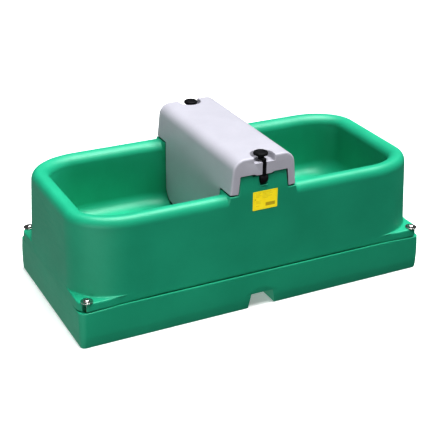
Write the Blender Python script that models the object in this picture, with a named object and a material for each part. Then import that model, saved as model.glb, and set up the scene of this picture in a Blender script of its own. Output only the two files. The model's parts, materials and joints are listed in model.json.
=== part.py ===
# Heated water trough: double-wall tub with two drinking bowls, base tray, float cover with two rubber latches,
# float valve, drain and under-floor heating. Metres, +Z up, X along the length, front face towards -Y,
# origin on the ground under the middle.
import math
import bpy
import bmesh
from mathutils import Vector, Matrix

# ---------------------------------------------------------------- driving dimensions
GAP = 0.0003

# base tray
BASE_A, BASE_B, BASE_R = 0.5300, 0.24965, 0.019      # half length, half width, vertical corner radius
BASE_FOOT_A, BASE_FOOT_B = 0.5265, 0.2448            # outline on the ground
BASE_CHAMFER_Z, BASE_TOP = 0.030, 0.1085
CHANNEL_LOW, CHANNEL_HIGH, CHANNEL_Z = 0.0420, 0.0340, 0.044
CHANNEL_ROOF = 0.050

# tub
TUB_Z = 0.1115
EAR_TOP = 0.1300
EAR_A, EAR_B = 0.5280, 0.2447
EAR_CX, EAR_CY = 0.5120, 0.2230                      # where the corner chamfer starts on each side
WALL_A, WALL_B, WALL_R = 0.5265, 0.2425, 0.110       # outer wall just above the ears
RIM_A, RIM_B, RIM_R = 0.5203, 0.2377, 0.138          # outer wall where the rim starts to curve
RIM_Z, RIM_OUT_R, RIM_IN_R = 0.3172, 0.030, 0.022
SKIN = 0.006
BOWL_A, BOWL_B, BOWL_R = 0.4600, 0.1800, 0.080       # inner wall at the floor fillet
FLOOR_Z = 0.1640
FILLET_LONG = (0.040, 0.036)                         # horizontal and vertical size of the floor fillet
FILLET_END = (0.070, 0.060)
SHOULDER = 0.0102                                    # bowl narrows by this beside the cover
LEDGE_X, LEDGE_Z = 0.0985, 0.3445
TAB_X_LOW, TAB_X_TOP, TAB_Z, TAB_LOW_X, TAB_LOW_Z = 0.0766, 0.0714, 0.3970, 0.033, 0.3920
NOTCH_LOW, NOTCH_HIGH, NOTCH_Z0, NOTCH_Z1 = 0.0110, 0.0135, 0.3670, 0.3960

BOLT_X, BOLT_Y = 0.5045, 0.2330

# cover
COVER_Y, COVER_TOP = 0.2377, 0.4457
COVER_SIDE_Z, COVER_SIDE_X = 0.4140, 0.0925
COVER_LEG_Z, COVER_LEG_X = 0.3480, 0.0988
COVER_ARC = 0.0350
COVER_SKIN = 0.005
PANEL_Y = 0.1735
DISH_FLOOR, DISH_R, DISH_TOP_R, DISH_CY = 0.4280, 0.0297, 0.0320, 0.2197

# latches: hinge axis through the foot
LATCH_Y, LATCH_Z = 0.2290, 0.3790
HEAD_Y = 0.2125

# float valve, drain, gland
RISER_Y = 0.108
DRAIN_Y = -0.100
GLAND_Y = 0.035
PIVOT_Y, PIVOT_Z = 0.070, 0.297
ARM_REST = math.radians(-25.0)
FLOAT_R, FLOAT_L, FLOAT_AT = 0.040, 0.084, 0.115
BOX_X, BOX_Y = 0.160, 0.0

for item in list(bpy.data.objects):
    bpy.data.objects.remove(item, do_unlink=True)

# ---------------------------------------------------------------- materials


def finish(name, colour, roughness, metallic=0.0):
    m = bpy.data.materials.new(name)
    m.use_nodes = True
    b = m.node_tree.nodes["Principled BSDF"]
    b.inputs["Base Color"].default_value = (*colour, 1.0)
    b.inputs["Roughness"].default_value = roughness
    b.inputs["Metallic"].default_value = metallic
    m.diffuse_color = (*colour, 1.0)
    return m


GREEN = finish("green_polyethylene", (0.012, 0.33, 0.17), 0.42)
GREY = finish("grey_polyethylene", (0.56, 0.56, 0.62), 0.45)
RUBBER = finish("black_rubber", (0.012, 0.012, 0.014), 0.45)
STAINLESS = finish("stainless_steel", (0.62, 0.62, 0.62), 0.28, 1.0)
BRASS = finish("brass", (0.70, 0.50, 0.20), 0.32, 1.0)
ALU = finish("aluminium", (0.75, 0.76, 0.77), 0.35, 1.0)
YELLOW = finish("yellow_film", (0.90, 0.66, 0.03), 0.40)
FOAM = finish("insulating_foam", (0.70, 0.66, 0.50), 0.90)
BLACK = finish("black_plastic", (0.03, 0.03, 0.035), 0.45)
DARKGREY = finish("box_plastic", (0.20, 0.21, 0.22), 0.50)
ORANGE = finish("float_plastic", (0.80, 0.25, 0.05), 0.40)
RED = finish("cable_sheath", (0.45, 0.05, 0.04), 0.50)

# ---------------------------------------------------------------- mesh helpers


def new_object(name, verts, faces, material=None, smooth=30.0):
    me = bpy.data.meshes.new(name)
    me.from_pydata([tuple(v) for v in verts], [], faces)
    bm = bmesh.new()
    bm.from_mesh(me)
    bmesh.ops.recalc_face_normals(bm, faces=bm.faces)
    if bm.calc_volume(signed=True) < 0:
        bmesh.ops.reverse_faces(bm, faces=bm.faces)
    bm.to_mesh(me)
    bm.free()
    me.shade_smooth()
    me.set_sharp_from_angle(angle=math.radians(smooth))
    ob = bpy.data.objects.new(name, me)
    bpy.context.collection.objects.link(ob)
    if material:
        me.materials.append(material)
    return ob


def as_cutter(ob):
    ob.hide_render = True
    ob.display_type = 'WIRE'
    return ob


def boolean(ob, other, op='DIFFERENCE'):
    as_cutter(other)
    m = ob.modifiers.new(other.name, 'BOOLEAN')
    m.operation = op
    m.solver = 'EXACT'
    m.object = other
    return m


def hole(name, r, low, high, segs, centre, axis='Z'):
    """Closed cylinder for cutting a round hole."""
    return turn(name, [(0, low), (r, low), (r, high), (0, high)], segs, centre, axis, phase=0.37)


def gather(name, parts):
    """Several separate cutters as one object."""
    verts, faces = [], []
    for ob in parts:
        k = len(verts)
        verts += [tuple(v.co) for v in ob.data.vertices]
        faces += [tuple(k + i for i in f.vertices) for f in ob.data.polygons]
        bpy.data.objects.remove(ob, do_unlink=True)
    return new_object(name, verts, faces)


def set_origin(ob, point):
    p = Vector(point)
    ob.data.transform(Matrix.Translation(-p))
    ob.location = ob.location + p


def turn(name, profile, segs, centre=(0, 0, 0), axis='Z', material=None, hexes=(), smooth=35.0, phase=0.0):
    """Turned solid. profile = (radius, height) points; a ring when it never meets the axis. hexes = indices of
    profile points that lie on a hexagon, whose radius is then half the width across flats."""
    n = len(profile)
    solid = profile[0][0] < 1e-9
    verts, rows = [], []
    for i, (r, h) in enumerate(profile):
        if r < 1e-9:
            rows.append([len(verts)])
            verts.append((0.0, 0.0, h))
            continue
        row = []
        for s in range(segs):
            t = 2 * math.pi * (s + phase) / segs
            rr = r
            if i in hexes:
                u = (t + math.pi / 6) % (math.pi / 3) - math.pi / 6
                rr = r / math.cos(u)
            row.append(len(verts))
            verts.append((rr * math.cos(t), rr * math.sin(t), h))
        rows.append(row)
    faces = []
    pairs = list(range(n - 1)) + ([] if solid else [n - 1])
    for i in pairs:
        a, b = rows[i], rows[(i + 1) % n]
        for s in range(segs):
            t = (s + 1) % segs
            if len(a) == 1 and len(b) > 1:
                faces.append((a[0], b[s], b[t]))
            elif len(b) == 1 and len(a) > 1:
                faces.append((a[s], b[0], a[t]))
            elif len(a) > 1 and len(b) > 1:
                faces.append((a[s], b[s], b[t], a[t]))
    turnm = {'Z': Matrix.Identity(4), 'X': Matrix.Rotation(math.pi / 2, 4, 'Y'),
             'Y': Matrix.Rotation(-math.pi / 2, 4, 'X')}[axis]
    verts = [turnm @ Vector(v) + Vector(centre) for v in verts]
    return new_object(name, verts, faces, material, smooth)


def prism(name, outline, low, high, axis='Z', material=None, smooth=35.0, taper=None):
    """Straight solid. outline = 2-D points; the third axis runs from low to high. taper = second outline."""
    n = len(outline)
    top = taper or outline
    place = {'Z': lambda p, h: (p[0], p[1], h), 'Y': lambda p, h: (p[0], h, p[1]), 'X': lambda p, h: (h, p[0], p[1])}[axis]
    verts = [place(p, low) for p in outline] + [place(p, high) for p in top]
    faces = [tuple(range(n))[::-1], tuple(range(n, 2 * n))]
    faces += [(i, (i + 1) % n, n + (i + 1) % n, n + i) for i in range(n)]
    return new_object(name, verts, faces, material, smooth)


def block(name, lo, hi, material=None):
    return prism(name, [(lo[0], lo[1]), (hi[0], lo[1]), (hi[0], hi[1]), (lo[0], hi[1])], lo[2], hi[2], 'Z', material)


def rounded(hx, hy, r, cx=0.0, cy=0.0, n=4):
    pts = []
    for sx, sy, t0 in ((1, 1, 0), (-1, 1, 90), (-1, -1, 180), (1, -1, 270)):
        for i in range(n + 1):
            t = math.radians(t0 + 90.0 * i / n)
            pts.append((cx + sx * (hx - r) + r * math.cos(t), cy + sy * (hy - r) + r * math.sin(t)))
    return pts


def tube(name, pts, radius, sides, material=None):
    pts = [Vector(p) for p in pts]
    verts, rings = [], []
    d0 = (pts[1] - pts[0]).normalized()
    side = d0.orthogonal().normalized()
    for i, p in enumerate(pts):
        if i == 0:
            d = pts[1] - pts[0]
        elif i == len(pts) - 1:
            d = pts[-1] - pts[-2]
        else:
            d = (pts[i + 1] - p).normalized() + (p - pts[i - 1]).normalized()
        d.normalize()
        side = (side - d * side.dot(d)).normalized()
        up = d.cross(side)
        ring = []
        for s in range(sides):
            t = 2 * math.pi * s / sides
            ring.append(len(verts))
            verts.append(p + side * (radius * math.cos(t)) + up * (radius * math.sin(t)))
        rings.append(ring)
    faces = [tuple(rings[0])[::-1], tuple(rings[-1])]
    for a, b in zip(rings, rings[1:]):
        faces += [(a[s], a[(s + 1) % sides], b[(s + 1) % sides], b[s]) for s in range(sides)]
    return new_object(name, verts, faces, material, 50.0)


def smooth_route(points, step):
    """Points about a step apart on a Catmull-Rom curve through the given points."""
    p = [Vector(q) for q in points]
    p = [p[0] * 2 - p[1]] + p + [p[-1] * 2 - p[-2]]
    out = []
    for i in range(1, len(p) - 2):
        a, b, c, d = p[i - 1], p[i], p[i + 1], p[i + 2]
        n = max(1, int(round((c - b).length / step)))
        for j in range(n):
            t = j / n
            out.append(0.5 * ((2 * b) + (c - a) * t + (2 * a - 5 * b + 4 * c - d) * t * t + (3 * b - a - 3 * c + d) * t ** 3))
    out.append(p[-2])
    return out


def smoothstep(t):
    t = max(0.0, min(1.0, t))
    return t * t * (3 - 2 * t)


def lerp(a, b, t):
    return a + (b - a) * t

# ---------------------------------------------------------------- rounded-rectangle stations round the plan


def quadrant(xs, thetas, ys):
    return [('L', x) for x in xs] + [('C', math.radians(t)) for t in thetas] + [('E', y) for y in ys]


def around(quad):
    """All four quadrants, counter-clockwise from the middle of the front: (station, sign x, sign y)."""
    out = [(s, 1, -1) for s in quad]
    out += [(s, 1, 1) for s in reversed(quad) if not (s[0] == 'E' and s[1] == 0)]
    out += [(s, -1, 1) for s in quad if not (s[0] == 'L' and s[1] == 0)]
    out += [(s, -1, -1) for s in reversed(quad) if not (s[0] == 'E' and s[1] == 0) and not (s[0] == 'L' and s[1] == 0)]
    return out


def plan(st, a, b, r):
    kind, v = st
    if kind == 'L':
        return v, b
    if kind == 'E':
        return a, v
    return a - r + r * math.sin(v), b - r + r * math.cos(v)


def grid_solid(name, stations, levels, caps, material, closed=False, smooth=30.0):
    """levels = functions station -> (x, y, z) in the first quadrant. caps = pairs (level, level) where the surface
    stops at a flat cap on each. closed joins the last level to the first."""
    n = len(stations)
    verts = []
    for lev in levels:
        for st, sx, sy in stations:
            x, y, z = lev(st)
            verts.append((sx * x, sy * y, z))
    faces = []
    breaks = {c[0] for c in caps}
    last = len(levels) if closed else len(levels) - 1
    for k in range(last):
        if k in breaks:
            continue
        k2 = (k + 1) % len(levels)
        for i in range(n):
            j = (i + 1) % n
            faces.append((k * n + i, k * n + j, k2 * n + j, k2 * n + i))
    for c in caps:
        for k in c:
            faces.append(tuple(k * n + i for i in range(n)))
    return new_object(name, verts, faces, material, smooth)

# ---------------------------------------------------------------- tub


FLANGE_C = (WALL_A - WALL_R, WALL_B - WALL_R)


def flange(st, z, inset=0.0):
    kind, v = st
    if kind == 'L':
        return v, lerp(WALL_B, EAR_B, (EAR_TOP - z) / (EAR_TOP - TUB_Z)) + 0.0002, z
    if kind == 'E':
        return lerp(WALL_A, EAR_A + 0.0005, (EAR_TOP - z) / (EAR_TOP - TUB_Z)) + 0.0002, v, z
    dx, dy = math.sin(v), math.cos(v)
    hits = []
    if dx > 1e-6:
        hits.append((EAR_A - inset - FLANGE_C[0]) / dx)
    if dy > 1e-6:
        hits.append((EAR_B - inset - FLANGE_C[1]) / dy)
    nx, ny = EAR_B - EAR_CY, EAR_A - EAR_CX
    s = math.hypot(nx, ny)
    nx, ny = nx / s, ny / s
    hits.append(((EAR_A - FLANGE_C[0]) * nx + (EAR_CY - FLANGE_C[1]) * ny - inset) / (dx * nx + dy * ny))
    t = min(hits)
    return FLANGE_C[0] + dx * t, FLANGE_C[1] + dy * t, z


def fillet_size(st):
    kind, v = st
    w = {'L': 0.0, 'E': 1.0, 'C': 0.0}[kind]
    if kind == 'C':
        w = smoothstep(v / (math.pi / 2))
    return lerp(FILLET_LONG[0], FILLET_END[0], w), lerp(FILLET_LONG[1], FILLET_END[1], w)


def shoulder(st):
    if st[0] != 'L':
        return 0.0
    return SHOULDER * (1.0 - smoothstep((st[1] - 0.112) / 0.050))


def bowl_plan(st, z, out, push=1.0):
    """Inner wall at height z, moved outwards by out."""
    t = (z - 0.200) / (RIM_Z + 0.008 - 0.200)
    a = lerp(BOWL_A, RIM_A - RIM_OUT_R - RIM_IN_R, t)
    b = lerp(BOWL_B, RIM_B - RIM_OUT_R - RIM_IN_R, t)
    r = lerp(BOWL_R, RIM_R - RIM_OUT_R - RIM_IN_R, t)
    x, y = plan(st, a + out, b + out, r + out)
    return x, y - shoulder(st) * push


def fillet_point(st, phi, out):
    h, v = fillet_size(st)
    z = FLOOR_Z + v * (1 - math.sin(phi)) - out * math.sin(phi)
    x, y = bowl_plan(st, FLOOR_Z + v, -h * (1 - math.cos(phi)) + out * math.cos(phi))
    return x, y, z


def zone(st):
    if st[0] != 'L' or st[1] > LEDGE_X + 1e-6:
        return 'rim'
    if st[1] > TAB_X_LOW + 1e-6:
        return 'ledge'
    return 'tab_low' if st[1] <= TAB_LOW_X + 1e-6 else 'tab'


RIM_POINTS = []
for deg in (0, 22.5, 45, 67.5, 90):
    t = math.radians(deg)
    RIM_POINTS.append((RIM_OUT_R * (1 - math.cos(t)), RIM_Z + RIM_OUT_R * math.sin(t), 0.0))
for deg, w in ((67.5, 0.25), (45, 0.6), (22.5, 0.9), (0, 1.0)):
    t = math.radians(deg)
    RIM_POINTS.append((RIM_OUT_R + RIM_IN_R * math.cos(t), RIM_Z + RIM_OUT_R - RIM_IN_R + RIM_IN_R * math.sin(t), w))
IN_TOP = RIM_Z + RIM_OUT_R - RIM_IN_R
LEDGE_POINTS = ((0.2377, RIM_Z), (0.2376, 0.3300), (0.2375, LEDGE_Z - 0.0012), (0.2363, LEDGE_Z), (0.215, LEDGE_Z),
                (0.200, LEDGE_Z), (0.185, LEDGE_Z), (0.1775, LEDGE_Z - 0.0015), (0.1760, IN_TOP))
TAB_POINTS = ((0.2377, RIM_Z), (0.2375, LEDGE_Z + 0.0005), (0.2371, TAB_Z - 0.0015), (0.2357, TAB_Z), (0.220, TAB_Z),
              (0.200, TAB_Z), (0.182, TAB_Z), (0.1790, TAB_Z - 0.0015), (0.1755, IN_TOP))


def rim_level(i):
    def f(st):
        zn = zone(st)
        if zn == 'rim':
            d, z, w = RIM_POINTS[i]
            x, y = plan(st, RIM_A - d, RIM_B - d, RIM_R - d)
            return x, y - shoulder(st) * w, z
        if zn == 'ledge':
            return st[1], LEDGE_POINTS[i][0], LEDGE_POINTS[i][1]
        y, z = TAB_POINTS[i]
        x = st[1]
        if st[1] > TAB_X_LOW - 1e-4 and 2 <= i <= 7:
            x = TAB_X_TOP
        if zn == 'tab_low' and 2 <= i <= 7:
            z -= TAB_Z - TAB_LOW_Z
        return x, y, z
    return f


UNDER_RIM = ((RIM_OUT_R + RIM_IN_R - SKIN, IN_TOP, 1.0),
             (RIM_OUT_R + (RIM_IN_R - SKIN) * 0.7071, IN_TOP + (RIM_IN_R - SKIN) * 0.7071, 0.6),
             (RIM_OUT_R, RIM_Z + RIM_OUT_R - SKIN, 0.0),
             (RIM_OUT_R - (RIM_OUT_R - SKIN) * 0.7071, RIM_Z + (RIM_OUT_R - SKIN) * 0.7071, 0.0),
             (SKIN, RIM_Z, 0.0))
UNDER_LEDGE = ((0.1820, IN_TOP), (0.1860, LEDGE_Z - 0.0070), (0.2050, LEDGE_Z - 0.0060), (0.2290, LEDGE_Z - 0.0070),
               (0.2317, RIM_Z))
UNDER_TAB = ((0.1815, IN_TOP), (0.1850, TAB_Z - 0.0070), (0.2050, TAB_Z - 0.0060), (0.2300, TAB_Z - 0.0070),
             (0.2317, RIM_Z))


def under_rim_level(i):
    def f(st):
        zn = zone(st)
        if zn == 'rim':
            d, z, w = UNDER_RIM[i]
            x, y = plan(st, RIM_A - d, RIM_B - d, RIM_R - d)
            return x, y - shoulder(st) * w, z
        if zn == 'ledge':
            x = st[1] if st[1] > 0.09 else 0.0712
            return x, UNDER_LEDGE[i][0], UNDER_LEDGE[i][1]
        y, z = UNDER_TAB[i]
        x = st[1]
        if st[1] > TAB_X_LOW - 1e-4:
            x = 0.0655 if 1 <= i <= 3 else 0.0705
        if zn == 'tab_low' and 1 <= i <= 3:
            z -= TAB_Z - TAB_LOW_Z
        return x, y, z
    return f


def wall_level(z, out):
    t = (z - EAR_TOP) / (RIM_Z - EAR_TOP)
    a, b, r = lerp(WALL_A, RIM_A, t), lerp(WALL_B, RIM_B, t), lerp(WALL_R, RIM_R, t)
    return lambda st: (*plan(st, a + out, b + out, r + out), z)


def inner_level(z, out):
    return lambda st: (*bowl_plan(st, z, out), z)


def fillet_start(out):
    def f(st):
        z = FLOOR_Z + fillet_size(st)[1]
        return (*bowl_plan(st, z, out), z)
    return f


def fillet_level(deg, out):
    return lambda st: fillet_point(st, math.radians(deg), out)


THETAS = [0, 10, 20, 30.5]
THETAS += [math.degrees(math.atan2(EAR_CX - FLANGE_C[0], EAR_B - FLANGE_C[1])),
           math.degrees(math.atan2(EAR_A - FLANGE_C[0], EAR_CY - FLANGE_C[1])), 60.5, 70.5, 80, 90]
TUB_STATIONS = around(quadrant([0, TAB_LOW_X, TAB_LOW_X + 0.001, TAB_X_LOW, TAB_X_LOW + 0.0008, LEDGE_X,
                                LEDGE_X + 0.001, 0.112, 0.129, 0.146, 0.163], THETAS, [0]))
JACKET_STATIONS = around(quadrant([0, 0.112, 0.129, 0.146, 0.163], THETAS, [0]))

tub_levels = [lambda st: (*plan(st, WALL_A - 0.0135, WALL_B - 0.0135, WALL_R - 0.0135), TUB_Z),
              lambda st: flange(st, TUB_Z),
              lambda st: flange(st, EAR_TOP - 0.0002),
              wall_level(EAR_TOP + 0.0002, 0.0)]
tub_levels += [rim_level(i) for i in range(9)]
tub_levels += [inner_level(0.262, 0.0), fillet_start(0.0)]
tub_levels += [fillet_level(d, 0.0) for d in (22.5, 45, 67.5)]
tub_levels += [lambda st: (*fillet_point(st, math.pi / 2, 0.0)[:2], FLOOR_Z)]
floor_cap = len(tub_levels) - 1
tub_levels += [lambda st: (*fillet_point(st, math.pi / 2, 0.0)[:2], FLOOR_Z - SKIN)]
tub_levels += [fillet_level(45, SKIN), fillet_start(SKIN), inner_level(0.262, SKIN)]
tub_levels += [under_rim_level(i) for i in range(5)]
tub_levels += [wall_level(0.137, -SKIN),
               lambda st: (*plan(st, WALL_A - 0.0135, WALL_B - 0.0135, WALL_R - 0.0135), 0.1290)]
tub = grid_solid("trough_tub", TUB_STATIONS, tub_levels, [(floor_cap, floor_cap + 1)], GREEN, closed=True)

# pads on the ledges that the cover rests on
for sx in (-1, 1):
    for sy in (-1, 1):
        x0, x1 = sorted((sx * 0.0830, sx * 0.0930))
        y0, y1 = sorted((sy * 0.2060, sy * 0.2240))
        boolean(tub, block("pad_%d_%d" % (sx, sy), (x0, y0, LEDGE_Z - 0.004), (x1, y1, COVER_LEG_Z - GAP)), 'UNION')
# latch pockets: a boss behind each notch, then the notch itself
for sy, tag in ((-1, "front"), (1, "back")):
    y0, y1 = sorted((sy * 0.2105, sy * 0.2347))
    boolean(tub, block("pocket_boss_" + tag, (-0.0180, y0, 0.3600), (0.0180, y1, TAB_LOW_Z - 0.003)), 'UNION')
    slope = (NOTCH_HIGH - NOTCH_LOW) / (NOTCH_Z1 - NOTCH_Z0)
    top = NOTCH_HIGH + slope * 0.020
    y0, y1 = sorted((sy * 0.2165, sy * 0.2600))
    boolean(tub, prism("notch_" + tag, [(-NOTCH_LOW, NOTCH_Z0), (NOTCH_LOW, NOTCH_Z0), (top, NOTCH_Z1 + 0.020),
                                        (-top, NOTCH_Z1 + 0.020)], y0, y1, 'Y'))


def slot_outline(cx, cy, ang, r, length, n=8):
    pts = []
    for i in range(n + 1):
        t = ang + math.pi / 2 + math.pi * i / n
        pts.append((cx + r * math.cos(t), cy + r * math.sin(t)))
    pts.append((cx + r * math.cos(ang - math.pi / 2) + length * math.cos(ang),
                cy + r * math.sin(ang - math.pi / 2) + length * math.sin(ang)))
    pts.append((cx + r * math.cos(ang + math.pi / 2) + length * math.cos(ang),
                cy + r * math.sin(ang + math.pi / 2) + length * math.sin(ang)))
    return pts


CORNERS = (("fl", -1, -1), ("fr", 1, -1), ("bl", -1, 1), ("br", 1, 1))
tub_holes = [prism("ear_slot_" + tag, slot_outline(sx * BOLT_X, sy * BOLT_Y, math.atan2(sy * 0.555, sx * 0.832), 0.0060, 0.050),
                   0.100, 0.1345) for tag, sx, sy in CORNERS]
tub_holes += [hole("tub_riser_hole", 0.0109, 0.140, 0.180, 24, (0, RISER_Y, 0)),
              hole("tub_drain_hole", 0.0135, 0.140, 0.180, 24, (0, DRAIN_Y, 0))]
boolean(tub, gather("tub_holes", tub_holes))

# ---------------------------------------------------------------- base tray
BASE_STATIONS = around(quadrant([0, 0.200], [0, 11.25, 22.5, 33.75, 45, 56.25, 67.5, 78.75, 90], [0]))


def ring_level(a, b, r, z):
    return lambda st: (*plan(st, a, b, r), z)


base = grid_solid("base_tray", BASE_STATIONS, [
    ring_level(BASE_FOOT_A, BASE_FOOT_B, 0.0155, 0.0),
    ring_level(BASE_A, BASE_B, BASE_R, BASE_CHAMFER_Z),
    ring_level(BASE_A, BASE_B, BASE_R, BASE_TOP - 0.0010),
    ring_level(BASE_A - 0.0008, BASE_B - 0.0008, BASE_R - 0.0008, BASE_TOP),
    ring_level(0.508, 0.224, 0.090, BASE_TOP),
    ring_level(0.508, 0.224, 0.090, BASE_TOP - 0.006),
    ring_level(0.522, 0.2415, 0.090, BASE_TOP - 0.009),
    ring_level(0.519, 0.2385, 0.087, 0.006)], [(7, 0)], GREEN, closed=True)
boolean(base, prism("channel_block", [(-0.0480, 0.0025), (0.0480, 0.0025), (0.0400, CHANNEL_ROOF), (-0.0400, CHANNEL_ROOF)],
                    -0.2430, 0.2430, 'Y'), 'UNION')
grow = (CHANNEL_LOW - CHANNEL_HIGH) / CHANNEL_Z
boolean(base, prism("channel_cut", [(-CHANNEL_LOW - grow * 0.01, -0.010), (CHANNEL_LOW + grow * 0.01, -0.010),
                                    (CHANNEL_HIGH, CHANNEL_Z), (-CHANNEL_HIGH, CHANNEL_Z)], -0.28, 0.28, 'Y'))
base_holes = [hole("base_riser_hole", 0.0112, 0.036, 0.060, 24, (0, RISER_Y, 0)),
              hole("base_drain_hole", 0.0140, 0.036, 0.060, 24, (0, DRAIN_Y, 0)),
              hole("base_gland_hole", 0.0084, 0.036, 0.060, 24, (0, GLAND_Y, 0))]
base_holes += [hole("insert_hole_" + tag, 0.0056, 0.0840, 0.1200, 16, (sx * BOLT_X, sy * BOLT_Y, 0)) for tag, sx, sy in CORNERS]
boolean(base, gather("base_holes", base_holes))

gasket = grid_solid("base_gasket", BASE_STATIONS, [
    ring_level(0.5225, 0.2385, 0.1045, BASE_TOP + GAP), ring_level(0.5225, 0.2385, 0.1045, TUB_Z - GAP),
    ring_level(0.5145, 0.2305, 0.0965, TUB_Z - GAP), ring_level(0.5145, 0.2305, 0.0965, BASE_TOP + GAP)], [], RUBBER, closed=True)

# ---------------------------------------------------------------- corner bolts, washers, inserts
for tag, sx, sy in CORNERS:
    c = (sx * BOLT_X, sy * BOLT_Y, 0)
    turn("corner_washer_" + tag, [(0.0044, 0.1303), (0.0163, 0.1303), (0.0163, 0.1323), (0.0044, 0.1323)], 22, c, material=STAINLESS)
    turn("corner_bolt_" + tag, [(0, 0.0930), (0.0040, 0.0930), (0.0040, 0.1326), (0.0095, 0.1326), (0.0095, 0.1338), (0.0080, 0.1365),
                                (0.0040, 0.1385), (0, 0.1387)], 16, c, material=STAINLESS)
    turn("corner_insert_" + tag, [(0.0043, 0.0860), (0.0053, 0.0860), (0.0053, 0.1082), (0.0043, 0.1082)], 16, c, material=BRASS)

# ---------------------------------------------------------------- label on the front wall, bent at the rim line


def front_y(z):
    if z < RIM_Z:
        return lerp(WALL_B, RIM_B, (z - EAR_TOP) / (RIM_Z - EAR_TOP))
    return lerp(0.2377, 0.2375, (z - RIM_Z) / (LEDGE_Z - RIM_Z))


LABEL_Z = (0.2932, RIM_Z, 0.3476)
inner = [(-front_y(z) - 0.0003, z) for z in LABEL_Z]
outer = [(-front_y(z) - 0.0007, z) for z in reversed(LABEL_Z)]
prism("rating_label", inner + outer, -0.0330, 0.0420, 'X', YELLOW)

# ---------------------------------------------------------------- cover
DRAFT = math.atan2(COVER_LEG_X - COVER_SIDE_X, COVER_SIDE_Z - COVER_LEG_Z)
ARC_CZ = COVER_TOP - COVER_ARC
ARC_CX = COVER_SIDE_X + (COVER_SIDE_Z - ARC_CZ) * 0.0 - COVER_ARC * math.cos(DRAFT)


def side_x(z):
    """Half width of the cover's outside at height z below the top arc."""
    if z >= COVER_LEG_Z:
        return COVER_LEG_X + (COVER_SIDE_X - COVER_LEG_X) * (z - COVER_LEG_Z) / (COVER_SIDE_Z - COVER_LEG_Z)
    return COVER_LEG_X + (COVER_LEG_Z - z) * 0.0097


def panel_bottom(y):
    h, v = FILLET_LONG
    edge = BOWL_B - SHOULDER - h
    u = max(0.0, min(1.0, (abs(y) + 0.0025 - edge) / h))
    return FLOOR_Z + 0.0080 + v * (1 - math.sqrt(max(0.0, 1 - u * u)))


def cover_section(kind, bottom):
    """Half section from the outside of the leg to the top, and the inside back from leg to top."""
    mid = 0.3585 if bottom > 0.340 else COVER_LEG_Z
    out = [(side_x(bottom), bottom), (side_x(mid), mid), (COVER_SIDE_X, COVER_SIDE_Z)]
    for deg in (28, 50, 70, 90):
        t = math.radians(deg)
        out.append((ARC_CX + COVER_ARC * math.cos(t), ARC_CZ + COVER_ARC * math.sin(t)))
    out += [(0.0300, COVER_TOP), (0.0, COVER_TOP)]
    if kind == 'band':
        ins = [(0.0784, bottom), (0.0758, 0.3700), (0.0730, 0.3930), (0.0718, 0.4000), (0.0600, 0.4000), (0.0450, 0.4000),
               (0.0320, 0.4000), (0.0210, 0.3960), (0.0, 0.3960)]
    else:
        r = COVER_ARC - COVER_SKIN
        x0 = 0.0788 if kind == 'leg' else side_x(bottom) - COVER_SKIN
        x1 = 0.0765 if kind == 'leg' else side_x(0.370) - COVER_SKIN
        ins = [(x0, bottom), (x1, 0.3700), (COVER_SIDE_X - COVER_SKIN, COVER_SIDE_Z)]
        if kind == 'leg':
            ins[2] = (0.0750, 0.4050)
        for deg in (28, 50, 70, 90):
            t = math.radians(deg)
            ins.append((ARC_CX + r * math.cos(t), ARC_CZ + r * math.sin(t)))
        ins += [(0.0300, COVER_TOP - COVER_SKIN), (0.0, COVER_TOP - COVER_SKIN)]
    return out, ins


def panel_edge_y(z):
    """The side panel's upright edge follows the bowl wall."""
    return lerp(0.1680, PANEL_Y, max(0.0, min(1.0, (z - 0.200) / (0.330 - 0.200))))


ys = [(COVER_Y, 'band', COVER_LEG_Z), (COVER_Y - 0.0060, 'band', COVER_LEG_Z), (COVER_Y - 0.0065, 'leg', COVER_LEG_Z),
      (0.2000, 'leg', COVER_LEG_Z), (0.1990, 'shell', COVER_LEG_Z), (PANEL_Y + 0.001, 'shell', COVER_LEG_Z),
      (PANEL_Y, 'edge', panel_bottom(0.1660))]
ys += [(y, 'shell', panel_bottom(y)) for y in (0.1640, 0.1585, 0.1500, 0.1400, 0.1270)]
cover_rows = ys + [(0.0, 'shell', panel_bottom(0.0))] + [(-y, k, b) for y, k, b in reversed(ys)]
verts, rows = [], []
for y, kind, bottom in cover_rows:
    out, ins = cover_section('shell' if kind == 'edge' else kind, bottom)
    loop = [(-x, z) for x, z in out] + [(x, z) for x, z in reversed(out[:-1])]
    loop += [(x, z) for x, z in ins] + [(-x, z) for x, z in reversed(ins[:-1])]
    row = []
    for x, z in loop:
        yy = y
        if kind == 'edge' and z < 0.345:
            yy = math.copysign(panel_edge_y(z), y)
        row.append(len(verts))
        verts.append((x, yy, z))
    rows.append(row)
faces = [tuple(rows[0]), tuple(rows[-1])]
for a, b in zip(rows, rows[1:]):
    n = len(a)
    faces += [(a[i], a[(i + 1) % n], b[(i + 1) % n], b[i]) for i in range(n)]
cover = new_object("cover_shell", verts, faces, GREY, 28.0)


def dish_outline(r, sy, n=12):
    pts = []
    for i in range(n + 1):
        t = math.pi * i / n
        pts.append((r * math.cos(t), sy * (DISH_CY - r * math.sin(t))))
    pts.append((-r, sy * 0.2600))
    pts.append((r, sy * 0.2600))
    return pts


for sy, tag in ((-1, "front"), (1, "back")):
    y0, y1 = sorted((sy * 0.1815, sy * (COVER_Y - 0.0030)))
    boolean(cover, block("dish_block_" + tag, (-0.0370, y0, DISH_FLOOR - 0.0045), (0.0370, y1, COVER_TOP - 0.0020)), 'UNION')
    grow = DISH_TOP_R + (DISH_TOP_R - DISH_R) * 0.3
    boolean(cover, prism("dish_" + tag, dish_outline(DISH_R, sy), DISH_FLOOR, COVER_TOP + 0.0053, 'Z', taper=dish_outline(grow, sy)))
    y0, y1 = sorted((sy * 0.2235, sy * 0.2600))
    boolean(cover, block("slot_" + tag, (-0.0060, y0, 0.3800), (0.0060, y1, 0.4350)))

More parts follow.
